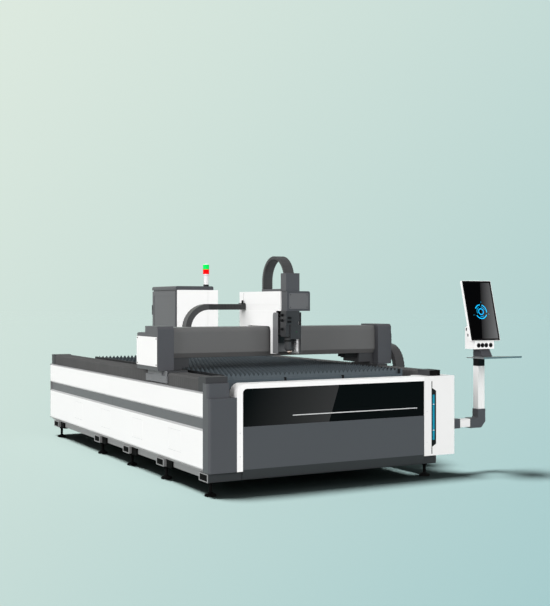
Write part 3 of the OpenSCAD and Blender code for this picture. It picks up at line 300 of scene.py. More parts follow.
@dataclass(frozen=True)
class SplitCoat(PowderCoat):
    """Powder paint in two colours that meet at a plane, or at two planes around a middle."""

    other: str = "#808080"
    axis: int = 2
    middle: float | None = None
    level: float = 0.0

    def dress(self, tree: NodeTree, shader: Node) -> None:
        """Adds the second colour beyond the level on top of the plain coat.

        Args:
            tree: The material's tree.
            shader: The shader that takes the pattern.
        """
        super().dress(tree, shader)
        first = shader.inputs["Base Color"].links[0].from_socket
        place = add_node(tree, "ShaderNodeTexCoord").outputs["Object"]
        reach = add_node(tree, "ShaderNodeSeparateXYZ", {0: place}).outputs[self.axis]
        if self.middle is not None:
            gap = {0: reach, 1: self.middle}
            shift = add_node(tree, "ShaderNodeMath", gap, operation="SUBTRACT").outputs[0]
            reach = add_node(tree, "ShaderNodeMath", {0: shift}, operation="ABSOLUTE").outputs[0]
        limit = {0: reach, 1: self.level}
        beyond = add_node(tree, "ShaderNodeMath", limit, operation="GREATER_THAN").outputs[0]
        blend = {0: beyond, 6: first, 7: srgb(self.other)}
        mixed = add_node(tree, "ShaderNodeMix", blend, data_type="RGBA").outputs[2]
        tree.links.new(mixed, shader.inputs["Base Color"])


@dataclass(frozen=True)
class LedgeShadeCoat(PowderCoat):
    """Powder paint whose narrow ledges, which face up, carry a painted shade."""

    # Painted shade of the narrow ledges that face up
    ledge_shade: str = "#b7b8b9"
    upright: float = 0.2

    def dress(self, tree: NodeTree, shader: Node) -> None:
        """Adds the painted shade where the sheet itself faces up.

        Args:
            tree: The material's tree.
            shader: The shader that takes the pattern.
        """
        super().dress(tree, shader)
        unshaded = shader.inputs["Base Color"].links[0].from_socket
        # Painted shade: where the sheet faces up, the colour turns grey
        facing = add_node(tree, "ShaderNodeNewGeometry").outputs["True Normal"]
        rise = add_node(tree, "ShaderNodeSeparateXYZ", {0: facing}).outputs[2]
        limit = {0: rise, 1: self.upright}
        ledge = add_node(tree, "ShaderNodeMath", limit, operation="GREATER_THAN").outputs[0]
        blend = {0: ledge, 6: unshaded, 7: srgb(self.ledge_shade)}
        mixed = add_node(tree, "ShaderNodeMix", blend, data_type="RGBA").outputs[2]
        tree.links.new(mixed, shader.inputs["Base Color"])


@dataclass(frozen=True)
class GroundSteel(Finish):
    """Bare ground or brushed steel: metal with fine lines along one direction."""

    along: Axis = Axis.Y

    def dress(self, tree: NodeTree, shader: Node) -> None:
        """Adds grinding lines, drawn 3 mm apart so that they show, and a gloss that follows.

        Args:
            tree: The material's tree.
            shader: The shader that takes the pattern.
        """
        shader.inputs["Metallic"].default_value = 1.0
        stretch = [0.02 if part > 0.5 else 1.0 for part in self.along.value]
        lines = self.grain(tree, shader, 3.0, 0.08, 0.3, stretch)
        low, high = self.roughness - 0.1, self.roughness + 0.15
        span = {"Value": lines, "To Min": low, "To Max": high}
        gloss = add_node(tree, "ShaderNodeMapRange", span).outputs[0]
        tree.links.new(gloss, shader.inputs["Roughness"])


@dataclass(frozen=True)
class MouldedPlastic(Finish):
    """Moulded nylon or ABS with a spark-eroded skin: dull, with a pebbly relief."""

    pebble_mm: float = 4.0

    def dress(self, tree: NodeTree, shader: Node) -> None:
        """Adds the pebbles, drawn coarser than the real 1 mm so that they show."""
        self.tone(tree, shader, "#6a6a6a", 120.0, 0.03)
        self.grain(tree, shader, self.pebble_mm, 0.2, 0.35)


@dataclass(frozen=True)
class CoatedCloth(Finish):
    """Pleated cover cloth with a rubbery coat: dull, woven, with dusty patches."""

    thread_mm: float = 5.0

    def dress(self, tree: NodeTree, shader: Node) -> None:
        """Adds the weave, drawn at 5 mm a thread so that it shows, and dusty patches.

        Args:
            tree: The material's tree.
            shader: The shader that takes the pattern.
        """
        self.tone(tree, shader, "#5c5c5c", 300.0, 0.25)
        place = add_node(tree, "ShaderNodeTexCoord").outputs["Object"]
        lines = {"Vector": place, "Scale": per_metre(self.thread_mm) / WAVES_PER_UNIT}
        warp, weft = (
            add_node(tree, "ShaderNodeTexWave", lines, bands_direction=way).outputs[1]
            for way in ("X", "Z")
        )
        weave = add_node(tree, "ShaderNodeMath", {0: warp, 1: weft}, operation="MULTIPLY")
        bumps = {"Height": weave.outputs[0], "Strength": 0.2, "Distance": 0.0004}
        relief = add_node(tree, "ShaderNodeBump", bumps).outputs[0]
        tree.links.new(relief, shader.inputs["Normal"])


@dataclass(frozen=True)
class MillScale(Finish):
    """Laser-cut slat steel with a blue-grey skin: mottled, scorched at the tips, with painted shade
    between the slats.
    """

    scorch: str = "#3c4246"
    skin: str = "#6c767c"
    # Painted shade between the slats, below the tooth tips
    gap_shade: str = "#20262a"
    root_z: float = 0.85
    tip_z: float = 0.917
    # How far below the tips the painted shade reaches
    gap_shade_m: float = 0.032
    front_y: float = -2.15

    def dress(self, tree: NodeTree, shader: Node) -> None:
        """Adds mottling, scorch towards the tooth tips, and painted shade below them behind the
        front slat.

        Args:
            tree: The material's tree.
            shader: The shader that takes the pattern.
        """
        shader.inputs["Metallic"].default_value = 0.35
        place = add_node(tree, "ShaderNodeTexCoord").outputs["Object"]
        split = add_node(tree, "ShaderNodeSeparateXYZ", {0: place})
        height, depth = split.outputs[2], split.outputs[1]
        cloud = {"Vector": place, "Scale": per_metre(45.0), "Detail": 5.0}
        mottle = add_node(tree, "ShaderNodeTexNoise", cloud).outputs[0]
        blend = {0: mottle, 6: srgb(self.colour), 7: srgb(self.skin)}
        base = add_node(tree, "ShaderNodeMix", blend, data_type="RGBA").outputs[2]

        span = {"Value": height, "From Min": self.root_z, "From Max": self.tip_z, "To Max": 0.5}
        rise = add_node(tree, "ShaderNodeMapRange", span).outputs[0]
        burn = add_node(tree, "ShaderNodeMath", {0: rise, 1: mottle}, operation="MULTIPLY")
        blend = {0: burn.outputs[0], 6: base, 7: srgb(self.scorch)}
        burnt = add_node(tree, "ShaderNodeMix", blend, data_type="RGBA").outputs[2]

        # Painted shade: darker below the tips, only on the slats behind the front one
        foot = self.tip_z - self.gap_shade_m
        span = {"Value": height, "From Min": self.tip_z, "From Max": foot, "To Max": 0.8}
        below = add_node(tree, "ShaderNodeMapRange", span).outputs[0]
        limit = {0: depth, 1: self.front_y}
        behind = add_node(tree, "ShaderNodeMath", limit, operation="GREATER_THAN").outputs[0]
        share = add_node(tree, "ShaderNodeMath", {0: below, 1: behind}, operation="MULTIPLY")
        blend = {0: share.outputs[0], 6: burnt, 7: srgb(self.gap_shade)}
        gap_shaded = add_node(tree, "ShaderNodeMix", blend, data_type="RGBA").outputs[2]
        tree.links.new(gap_shaded, shader.inputs["Base Color"])
        self.grain(tree, shader, 6.0, 0.2, 0.3)


@dataclass(frozen=True)
class SlantedGloss(Finish):
    """Black acrylic or glass with a painted reflection that brightens up to one slanted edge."""

    # Colour of the painted reflection, brightest at the slanted edge
    light: str = "#333333"
    edge_x: float = 0.0
    edge_z: float = 0.0
    slant: float = 0.33
    width: float = 1.0
    past: bool = False

    def dress(self, tree: NodeTree, shader: Node) -> None:
        """Adds the painted slanted reflection and a hard, wet gloss.

        Args:
            tree: The material's tree.
            shader: The shader that takes the pattern.
        """
        place = add_node(tree, "ShaderNodeTexCoord").outputs["Object"]
        split = add_node(tree, "ShaderNodeSeparateXYZ", {0: place}).outputs
        # Painted reflection: a slanted band that brightens towards its edge
        slope = {0: split[2], 1: -self.slant, 2: split[0]}
        lean = add_node(tree, "ShaderNodeMath", slope, operation="MULTIPLY_ADD").outputs[0]
        edge = self.edge_x - self.slant * self.edge_z
        if self.past:
            side, start, stop = "GREATER_THAN", edge - 0.08 * self.width, edge + self.width
        else:
            side, start, stop = "LESS_THAN", edge - self.width, edge
        span = {"Value": lean, "From Min": start, "From Max": stop}
        ramp = add_node(tree, "ShaderNodeMapRange", span).outputs[0]
        inside = add_node(tree, "ShaderNodeMath", {0: lean, 1: edge}, operation=side).outputs[0]
        part = add_node(tree, "ShaderNodeMath", {0: ramp, 1: inside}, operation="MULTIPLY")
        blend = {0: part.outputs[0], 6: srgb(self.colour), 7: srgb(self.light)}
        mixed = add_node(tree, "ShaderNodeMix", blend, data_type="RGBA").outputs[2]
        tree.links.new(mixed, shader.inputs["Base Color"])
        self.grain(tree, shader, 90.0, 0.05, 0.05)


@dataclass(frozen=True)
class LitLens(Finish):
    """Frosted acrylic lens with lamps behind it: glows evenly, ribbed inside."""

    glow: float = 0.5
    rib_mm: float = 9.0

    def dress(self, tree: NodeTree, shader: Node) -> None:
        """Adds the glow and the ribs of the lens.

        Args:
            tree: The material's tree.
            shader: The shader that takes the pattern.
        """
        shader.inputs["Emission Color"].default_value = srgb(self.colour)
        shader.inputs["Emission Strength"].default_value = self.glow
        place = add_node(tree, "ShaderNodeTexCoord").outputs["Object"]
        lines = {"Vector": place, "Scale": per_metre(self.rib_mm) / WAVES_PER_UNIT}
        ribs = add_node(tree, "ShaderNodeTexWave", lines, bands_direction="Z").outputs[1]
        bumps = {"Height": ribs, "Strength": 0.4, "Distance": 0.001}
        relief = add_node(tree, "ShaderNodeBump", bumps).outputs[0]
        tree.links.new(relief, shader.inputs["Normal"])
        self.tone(tree, shader, "#202020", 40.0, 0.08)


@dataclass(frozen=True)
class Copper(Finish):
    """Turned copper with a pale ceramic ring above it."""

    ring: str = "#f0dccf"
    ring_z: float = 1.059

    def dress(self, tree: NodeTree, shader: Node) -> None:
        """Adds the ceramic above a height, and turning lines.

        Args:
            tree: The material's tree.
            shader: The shader that takes the pattern.
        """
        place = add_node(tree, "ShaderNodeTexCoord").outputs["Object"]
        height = add_node(tree, "ShaderNodeSeparateXYZ", {0: place}).outputs[2]
        limit = {0: height, 1: self.ring_z}
        above = add_node(tree, "ShaderNodeMath", limit, operation="GREATER_THAN").outputs[0]
        blend = {0: above, 6: srgb(self.colour), 7: srgb(self.ring)}
        mixed = add_node(tree, "ShaderNodeMix", blend, data_type="RGBA").outputs[2]
        metal = add_node(tree, "ShaderNodeMath", {0: 1.0, 1: above}, operation="SUBTRACT")
        tree.links.new(mixed, shader.inputs["Base Color"])
        tree.links.new(metal.outputs[0], shader.inputs["Metallic"])
        self.grain(tree, shader, 2.0, 0.1, 0.2, (0.05, 0.05, 1.0))


class Paint:
    """The finishes of this machine."""

    WHITE = PowderCoat("white_powder_coat", "white_paint", "#f7f7f6", 0.38, shade="#e9ebec")
    # Side panels: white, with painted shade on the ledges that face up
    PANEL_WHITE = LedgeShadeCoat(
        "side_panel_powder_coat", "white_paint", "#f7f7f6", 0.38, shade="#e9ebec"
    )
    COLUMN_WHITE = PowderCoat("column_powder_coat", "white_paint", "#ebebea", 0.4, shade="#dcdedf")
    CABINET_WHITE = PowderCoat(
        "cabinet_powder_coat", "white_paint", "#ebebea", 0.4, shade="#d8dadc"
    )
    CHARCOAL = PowderCoat("charcoal_powder_coat", "dark_paint", "#494a4e", 0.42, shade="#3c3d41")
    BEAM_GREY = PowderCoat("beam_powder_coat", "grey_paint", "#5e5e5e", 0.45, shade="#555555")
    STRIPE_GREY = PowderCoat("stripe_powder_coat", "grey_paint", "#5b5c5f", 0.42, shade="#525356")
    FRAME_GREY = PowderCoat("frame_powder_coat", "grey_paint", "#8b8b8b", 0.5, shade="#747474")
    CABINET_GREY = PowderCoat("door_powder_coat", "grey_paint", "#56575a", 0.42, shade="#4d4e51")
    END_BLOCK = PowderCoat("end_block_coat", "dark_paint", "#3c3d3f", 0.5, 0.2, shade="#333436")
    TUBE_END = PowderCoat("tube_end_coat", "grey_paint", "#8f8f8f", 0.5, shade="#808080")
    PLATE = PowderCoat("carriage_plate_coat", "grey_paint", "#707173", 0.45, shade="#626365")
    TRIM = PowderCoat("pale_trim_enamel", "steel", "#d6d7d8", 0.35, shade="#b4b5b6", drift=0.3)
    HEAD_COVER = SplitCoat(
        "head_cover_coat", "dark_paint", "#5f6062", 0.42,
        shade="#565759", other="#45464a", axis=1, level=-1.863,
    )
    END_COVER = SplitCoat(
        "end_cover_coat", "white_paint", "#494a4e", 0.4,
        shade="#424347", other="#f7f7f6", axis=1, level=-1.5915,
    )
    SLIDER = SplitCoat(
        "slider_coat", "grey_paint", "#3d3e40", 0.45, 0.3,
        shade="#333436", other="#6f7073", axis=0, middle=-0.3024, level=1.0915,
    )
    DOOR = SplitCoat(
        "cabinet_door_coat", "grey_paint", "#1a1b1c", 0.42,
        shade="#242526", other="#56575a", axis=0, level=0.1518,
    )
    TOWER = SplitCoat(
        "tower_pole_coat", "black_plastic", "#161617", 0.3,
        shade="#222223", other="#e4e3e4", axis=2, level=1.7045,
    )
    # Base tubes: grey, with their front painted near-black as painted shade
    BASE_TUBE = SplitCoat(
        "base_tube_coat", "grey_paint", "#2c2d2f", 0.5,
        shade="#262729", other="#828282", axis=1, level=-2.2725,
    )
    # Lower front panel: below the level its skirt is painted darker, as painted shade
    LOWER_PANEL = SplitCoat(
        "lower_panel_coat", "dark_paint", "#2e2f31", 0.42,
        shade="#28292b", other="#484a4e", axis=2, level=0.1965,
    )
    COLLAR = SplitCoat(
        "collar_coat", "black_plastic", "#101011", 0.45, 0.2,
        shade="#0c0c0d", other="#45464a", axis=2, level=1.012,
    )
    # Combs: scorched steel on the front bar, painted near-black behind it as painted shade
    COMB = SplitCoat(
        "comb_scorched_steel", "black_plastic", "#465056", 0.5,
        shade="#566168", drift=0.4, other="#1b1c1e", axis=1, level=-2.203,
    )
    BLACK = MouldedPlastic("black_moulded_abs", "black_plastic", "#0d0d0e", 0.5, 0.3)
    GLOSS_BLACK = MouldedPlastic("gloss_moulded_abs", "black_plastic", "#040405", 0.3, 0.06)
    RUBBER = MouldedPlastic("foot_rubber", "black_plastic", "#080808", 0.7, 0.03, pebble_mm=5.0)
    CHAIN = MouldedPlastic("chain_nylon", "black_plastic", "#414142", 0.42)
    # The same chain nylon, darker: painted shade for the upper run of the beam chain
    CHAIN_SHADED = MouldedPlastic("chain_nylon_dark", "black_plastic", "#29292a", 0.42)
    HEAD = MouldedPlastic("head_hard_anodised", "dark_paint", "#303133", 0.42)
    CLOTH = CoatedCloth("pleated_cover_cloth", "dark_paint", "#4f4f4f", 0.75, 0.2)
    SLATS = MillScale("slat_mill_scale", "slat_steel", "#566066", 0.5)
    STEEL = GroundSteel("ground_guide_steel", "steel", "#b9bbbe", 0.32)
    TRAY = GroundSteel("brushed_tray_steel", "steel", "#c3c5c7", 0.36, along=Axis.X)
    # Front panel: black, with a painted slanted reflection
    PANEL = SlantedGloss(
        "front_black_acrylic", "gloss_black", "#050505", 0.08, 0.08,
        edge_x=-0.333, edge_z=0.526, width=0.8,
    )
    # Screen: black glass, with a painted slanted reflection
    SCREEN = SlantedGloss(
        "screen_glass", "gloss_black", "#040405", 0.08, 0.08, light="#6e6f70",
        edge_x=1.2236, edge_z=1.149, slant=0.1575, width=0.2, past=True,
    )
    TEAL = LitLens("lit_teal_lens", "teal_lens", "#1b8aa4", 0.3, 0.15, glow=0.12)
    DISPLAY = LitLens("display_teal", "teal_lens", "#10aede", 0.3, 0.15, glow=0.75)
    RED = LitLens("red_signal_lens", "red_lens", "#e60000", 0.4, 0.15, glow=0.3)
    GREEN = LitLens("green_signal_lens", "green_lens", "#00d052", 0.4, 0.15, glow=0.4)
    STATUS = LitLens("status_lamp", "green_lens", "#1f7040", 0.4, 0.15, glow=0.05)
    COPPER = Copper("turned_copper", "copper", "#c98a63", 0.3)


def outline_prism(
    bm: BMesh,
    outline: Sequence[Point],
    place: Callable[[float, float, float], Vector],
    d0: float,
    d1: float,
) -> None:
    """Draws a closed outline out between two depths.

    Args:
        bm: The mesh that gets the faces.
        outline: Points of the outline, in mm.
        place: Turns outline point and depth into a point of the frame.
        d0: First depth in mm.
        d1: Second depth in mm.
    """
    near, far = ([bm.verts.new(place(u, v, d)) for u, v in outline] for d in (d0, d1))
    bm.faces.new(near)
    bm.faces.new(list(reversed(far)))
    count = len(outline)
    for i in range(count):
        bm.faces.new((near[(i + 1) % count], near[i], far[i], far[(i + 1) % count]))


def block(bm: BMesh, lo: Sequence[float], hi: Sequence[float], ease: float = 0.0) -> None:
    """Adds a box between two corners of the drawing, in mm, with eased edges.

    Args:
        bm: The mesh that gets the box.
        lo: Low corner.
        hi: High corner.
        ease: Width of the eased edges.
    """
    made = bmesh.ops.create_cube(bm, size=1.0)["verts"]
    low, high = at(*lo), at(*hi)
    for v in made:
        v.co = Vector(low[i] + (v.co[i] + 0.5) * (high[i] - low[i]) for i in range(3))
    if ease > 0:
        edges = list(dict.fromkeys(e for v in made for e in v.link_edges))
        bmesh.ops.bevel(
            bm, geom=edges, offset=ease / 1000, segments=2, profile=0.6, affect="EDGES"
        )


def turned(
    bm: BMesh, profile: Sequence[Point], centre: Vector, axis: Vector, sides: int
) -> None:
    """Adds a turned shape from a closed profile of radius and height, in mm.

    Args:
        bm: The mesh that gets the faces.
        profile: Radius and height from one pole to the other.
        centre: Foot of the axis, in metres.
        axis: Direction of the axis.
        sides: Number of sides.
    """
    turn = axis.to_track_quat("Z", "Y").to_matrix()
    rings = []
    for radius, height in profile:
        ring = []
        for i in range(sides if radius > 0 else 1):
            a = 2 * math.pi * i / sides
            local = Vector((radius * math.cos(a), radius * math.sin(a), height)) / 1000
            ring.append(bm.verts.new(centre + turn @ local))
        rings.append(ring)
    for low, high in zip(rings, rings[1:]):
        for i in range(sides):
            order = ((low, i), (low, i + 1), (high, i + 1), (high, i))
            face = list(dict.fromkeys(ring[k % len(ring)] for ring, k in order))
            if len(face) > 2:
                bm.faces.new(face)


def to_mesh(
    bm: BMesh, name: str, smooth_deg: float | None = None, outwards: bool = True
) -> Mesh:
    """Ends a mesh under construction.

    Args:
        bm: The mesh under construction, which is freed.
        name: Name of the mesh.
        smooth_deg: Edges flatter than this are shaded smooth, or None for flat faces.
        outwards: True where the faces are turned outwards first.

    Returns:
        The finished mesh.
    """
    if outwards:
        bmesh.ops.recalc_face_normals(bm, faces=bm.faces)
    mesh = bpy.data.meshes.new(name)
    bm.to_mesh(mesh)
    bm.free()
    if smooth_deg is not None:
        mesh.shade_smooth()
        mesh.set_sharp_from_angle(angle=math.radians(smooth_deg))
    return mesh


def open_edges(bm: BMesh) -> int:
    """Number of edges that do not join exactly two faces."""
    return sum(1 for e in bm.edges if len(e.link_faces) != 2)


def add_object(name: str, data: Any) -> Object:
    """Puts an object with its data into the scene.

    Args:
        name: Name of the object.
        data: Its mesh, lamp or camera.

    Returns:
        The new object, at the origin.
    """
    shape = bpy.data.objects.new(name, data)
    bpy.context.scene.collection.objects.link(shape)
    return shape


def settle(carrier: Object, modifier: Modifier) -> Mesh:
    """Runs a modifier and keeps its result as a plain mesh.

    Args:
        carrier: The object with the modifier, which is removed.
        modifier: The modifier.

    Returns:
        The plain mesh.
    """
    depsgraph = bpy.context.evaluated_depsgraph_get()
    made = bpy.data.meshes.new_from_object(carrier.evaluated_get(depsgraph), depsgraph=depsgraph)
    carrier.modifiers.remove(modifier)
    bpy.data.objects.remove(carrier)
    return made


def even(mesh: Mesh) -> Mesh:
    """Shades flat faces flat up to their eased edges.

    Args:
        mesh: A mesh with eased edges.

    Returns:
        A copy whose normals follow the larger faces.
    """
    carrier = add_object(mesh.name + "_carrier", mesh)
    weighed = carrier.modifiers.new("follow_large_faces", "WEIGHTED_NORMAL")
    weighed.weight = 100
    weighed.keep_sharp = True
    return settle(carrier, weighed)


class Repeat:
    """The Geometry Nodes trees that set copies of one unit, each made once."""

    SOCKETS = {
        "Geometry": "NodeSocketGeometry",
        "Unit": "NodeSocketObject",
        "Count": "NodeSocketInt",
        "Size": "NodeSocketFloat",
        "Across": "NodeSocketVector",
        "Pitch": "NodeSocketVector",
        "Finish": "NodeSocketMaterial",
    }

    @classmethod
    def start(cls, name: str, *inputs: str) -> tuple[NodeTree, Any]:
        """Starts a tree with named inputs.

        Args:
            name: Name of the tree.
            inputs: Names of its inputs.

        Returns:
            The tree, and the sockets that bring its inputs.
        """
        tree = bpy.data.node_groups.new(name, "GeometryNodeTree")
        for label in inputs:
            tree.interface.new_socket(label, in_out="INPUT", socket_type=cls.SOCKETS[label])
        tree.interface.new_socket("Geometry", in_out="OUTPUT", socket_type=cls.SOCKETS["Geometry"])
        return tree, add_node(tree, "NodeGroupInput").outputs

    @staticmethod
    def close(tree: NodeTree, given: Any, merge_mm: float, **spots: NodeSocket) -> NodeTree:
        """Ends a tree: copies become plain mesh, joined where they touch, with their material.

        Args:
            tree: The tree.
            given: The sockets that bring its inputs.
            merge_mm: Distance within which points are joined.
            spots: Points, and where they need it rotation and scale, of the copies.

        Returns:
            The tree.
        """
        unit = add_node(tree, "GeometryNodeObjectInfo", {"Object": given["Unit"]})
        spots["Instance"] = unit.outputs["Geometry"]
        copies = add_node(tree, "GeometryNodeInstanceOnPoints", spots)
        plain = add_node(tree, "GeometryNodeRealizeInstances", {0: copies.outputs[0]})
        near = {"Geometry": plain.outputs[0], "Distance": merge_mm / 1000}
        joined = add_node(tree, "GeometryNodeMergeByDistance", near)
        coat = {"Geometry": joined.outputs[0], "Material": given["Finish"]}
        done = add_node(tree, "GeometryNodeSetMaterial", coat)
        add_node(tree, "NodeGroupOutput", {0: done.outputs[0]})
        return tree

    @staticmethod
    @cache
    def fasteners() -> NodeTree:
        """Tree that sets one fastener on each point, turned to the point's facing.

        Returns:
            The tree.
        """
        tree, given = Repeat.start("set_fasteners", "Geometry", "Unit", "Size", "Finish")
        facing = add_node(
            tree, "GeometryNodeInputNamedAttribute", {"Name": "facing"}, data_type="FLOAT_VECTOR"
        )
        turn = add_node(
            tree, "FunctionNodeAlignRotationToVector", {"Vector": facing.outputs[0]}, axis="Z"
        )
        spots = {"Points": given["Geometry"], "Rotation": turn.outputs[0], "Scale": given["Size"]}
        return Repeat.close(tree, given, 0.001, **spots)

    @staticmethod
    @cache
    def links() -> NodeTree:
        """Tree that threads chain links along a path.

        Returns:
            The tree.
        """
        tree, given = Repeat.start("thread_links", "Geometry", "Unit", "Count", "Across", "Finish")
        path = add_node(tree, "GeometryNodeMeshToCurve", {0: given["Geometry"]})
        share = {"Curve": path.outputs[0], "Count": given["Count"]}
        spaced = add_node(tree, "GeometryNodeResampleCurve", share)
        tangent = add_node(tree, "GeometryNodeInputTangent")
        ahead = add_node(
            tree, "FunctionNodeAlignRotationToVector", {"Vector": tangent.outputs[0]}, axis="X"
        )
        level = add_node(
            tree,
            "FunctionNodeAlignRotationToVector",
            {"Rotation": ahead.outputs[0], "Vector": given["Across"]},
            axis="Y",
            pivot_axis="X",
        )
        spots = {"Points": spaced.outputs[0], "Rotation": level.outputs[0]}
        return Repeat.close(tree, given, 0.001, **spots)

    @staticmethod
    @cache
    def row() -> NodeTree:
        """Tree that sets one pleat or slat behind the other in a straight row.

        Returns:
            The tree.
        """
        tree, given = Repeat.start("straight_row", "Unit", "Count", "Pitch", "Finish")
        steps = {"Count": given["Count"], "Offset": given["Pitch"]}
        line = add_node(tree, "GeometryNodeMeshLine", steps, mode="OFFSET")
        return Repeat.close(tree, given, 0.05, Points=line.outputs[0])

    @staticmethod
    def realise(name: str, tree: NodeTree, host: Mesh, unit: Mesh, **values: Any) -> Mesh:
        """Runs a tree on a host mesh and keeps the result as a plain mesh.

        Args:
            name: Name of the result.
            tree: The tree.
            host: Mesh that the tree starts from.
            unit: Mesh of the shape that is repeated.
            values: The other inputs, by name.

        Returns:
            The plain mesh.
        """
        carrier = add_object(name + "_host", host)
        values["Unit"] = add_object(name + "_unit", unit)
        modifier = carrier.modifiers.new("repeat", "NODES")
        modifier.node_group = tree
        for item in tree.interface.items_tree:
            if item.in_out == "INPUT" and item.name in values:
                modifier[item.identifier] = values[item.name]
        made = settle(carrier, modifier)
        bpy.data.objects.remove(values["Unit"])
        made.shade_smooth()
        made.set_sharp_from_angle(angle=math.radians(SMOOTH_DEG))
        return made


@dataclass
class Workshop:
    """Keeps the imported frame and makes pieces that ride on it."""

    frame: dict[str, Any]
    join_m: float = 2e-5
    flat_deg: float = 1.0
    sharp_deg: float = 32.0
    skin_smooth_deg: float = 50.0
    lost_share: float = 0.08
    reach_m: float = 0.0005
    # Radius and height of a socket-head screw whose head has radius one
    screw: tuple[Point, ...] = (
        (0, -0.4), (1, -0.4), (1, 0.28), (0.82, 0.45), (0.5, 0.45), (0.42, 0.15), (0, 0.15)
    )

    def dress(self, shape: Object, finish: Finish) -> None:
        """Gives a CAD node or a new piece its finish.

        Args:
            shape: The node or piece.
            finish: The finish.
        """
        shape.data.materials.clear()
        shape.data.materials.append(finish.material())

    def piece(
        self, name: str, mesh: Mesh, finish: Finish, body: str | None, *stands_for: str
    ) -> Object:
        """Puts a finished mesh into the scene.

        Args:
            name: Name of the piece.
            mesh: Its mesh, in the row frame.
            finish: Its finish.
            body: The body it rides on, or None.
            stands_for: CAD nodes that it replaces.

        Returns:
            The new object.
        """
        mesh.name = name
        shape = add_object(name, mesh)
        self.dress(shape, finish)
        if body is not None:
            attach(shape, body)
        for node in stands_for:
            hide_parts(node)
        LOG.info("piece %s: %d faces", name, len(mesh.polygons))
        return shape

    def from_bmesh(self, name: str, bm: BMesh, finish: Finish, body: Body) -> None:
        """Ends a mesh under construction and puts it into the scene."""
        self.piece(name, to_mesh(bm, name, SMOOTH_DEG), finish, body)

    def blocks(self, name: str, boxes: Iterable[Box], finish: Finish, body: Body) -> None:
        """Makes one piece of boxes.

        Args:
            name: Name of the piece.
            boxes: The boxes.
            finish: The finish.
            body: The body that carries the piece.
        """
        bm = bmesh.new()
        for box in boxes:
            block(bm, *box)
        self.from_bmesh(name, bm, finish, body)

    def soften(self, node: str, finish: Finish, width_mm: float) -> None:
        """Replaces a CAD node by a copy with eased edges, or dresses it itself where that fails.

        Args:
            node: Name of the node.
            finish: The finish.
            width_mm: Width of the eased edges.
        """
        source = self.frame["nodes"][node]
        bm = bmesh.new()
        bm.from_mesh(source.data)
        bmesh.ops.remove_doubles(bm, verts=bm.verts, dist=self.join_m)
        bmesh.ops.dissolve_limit(
            bm,
            angle_limit=math.radians(self.flat_deg),
            verts=bm.verts,
            edges=bm.edges,
            use_dissolve_boundaries=False,
        )
        volume, loose = abs(bm.calc_volume()), open_edges(bm)
        sharp = [
            e
            for e in bm.edges
            if len(e.link_faces) == 2
            and e.calc_face_angle(0.0) > math.radians(self.sharp_deg)
            and e.calc_length() > 2.5 * width_mm / 1000
        ]
        bmesh.ops.bevel(
            bm,
            geom=sharp,
            offset=width_mm / 1000,
            segments=2,
            profile=0.5,
            affect="EDGES",
            clamp_overlap=True,
        )
        lost = abs(abs(bm.calc_volume()) - volume)
        low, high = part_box(node)
        reach = max(
            (max(low[i] - v.co[i], v.co[i] - high[i]) for v in bm.verts for i in range(3)),
            default=1.0,
        )
        if open_edges(bm) > loose or lost > self.lost_share * volume or reach > self.reach_m:
            bm.free()
            LOG.info("node %s keeps its own edges", node)
            self.dress(source, finish)
            return
        mesh = to_mesh(bm, node, self.skin_smooth_deg, outwards=False)
        self.piece(node + "_skin", even(mesh), finish, source["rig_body"], node)

    def fasteners(
        self,
        name: str,
        spots: Sequence[tuple[Vector, Vector]],
        radius_mm: float,
        finish: Finish,
        body: Body,
    ) -> None:
        """Sets socket-head screws on a set of spots.

        Args:
            name: Name of the piece.
            spots: Place and facing of each screw, in metres.
            radius_mm: Radius of the head.
            finish: The finish.
            body: The body that carries the screws.
        """
        host = bpy.data.meshes.new(name)
        host.from_pydata([spot for spot, _ in spots], [], [])
        facing = host.attributes.new("facing", "FLOAT_VECTOR", "POINT")
        facing.data.foreach_set("vector", [c for _, way in spots for c in way])
        bm = bmesh.new()
        turned(bm, [(1000 * r, 1000 * h) for r, h in self.screw], Vector(), Axis.Z.value, 12)
        values = {"Size": radius_mm / 1000, "Finish": finish.material()}
        made = Repeat.realise(name, Repeat.fasteners(), host, to_mesh(bm, "screw"), **values)
        self.piece(name, made, finish, body)

    def in_row(
        self, name: str, unit: Mesh, count: int, pitch_mm: float, finish: Finish
    ) -> Mesh:
        """Sets copies of a unit one behind the other.

        Args:
            name: Name of the result.
            unit: The foremost copy, in its place.
            count: Number of copies.
            pitch_mm: Distance between them.
            finish: The finish.

        Returns:
            The mesh of the row.
        """
        step = Axis.Y.value * pitch_mm / 1000
        values = {"Count": count, "Pitch": step, "Finish": finish.material()}
        return Repeat.realise(name, Repeat.row(), bpy.data.meshes.new(name), unit, **values)


# CAD nodes with their finish and the width of their eased edges in mm, 0 for edges as they are
Coats = tuple[tuple[str, Finish, float], ...]


@dataclass
class SubAssembly:
    """A part of the machine that dresses its CAD nodes and adds pieces of its own."""

    shop: Workshop
    coats: Coats = ()

    def build(self) -> None:
        """Dresses the nodes and adds the pieces."""
        LOG.info("building %s", type(self).__name__)
        for node, finish, ease_mm in self.coats:
            if ease_mm > 0:
                self.shop.soften(node, finish, ease_mm)
            else:
                self.shop.dress(self.shop.frame["nodes"][node], finish)
        self.add_pieces()

    def add_pieces(self) -> None:
        """Adds the pieces that the CAD nodes lack, where there are any."""


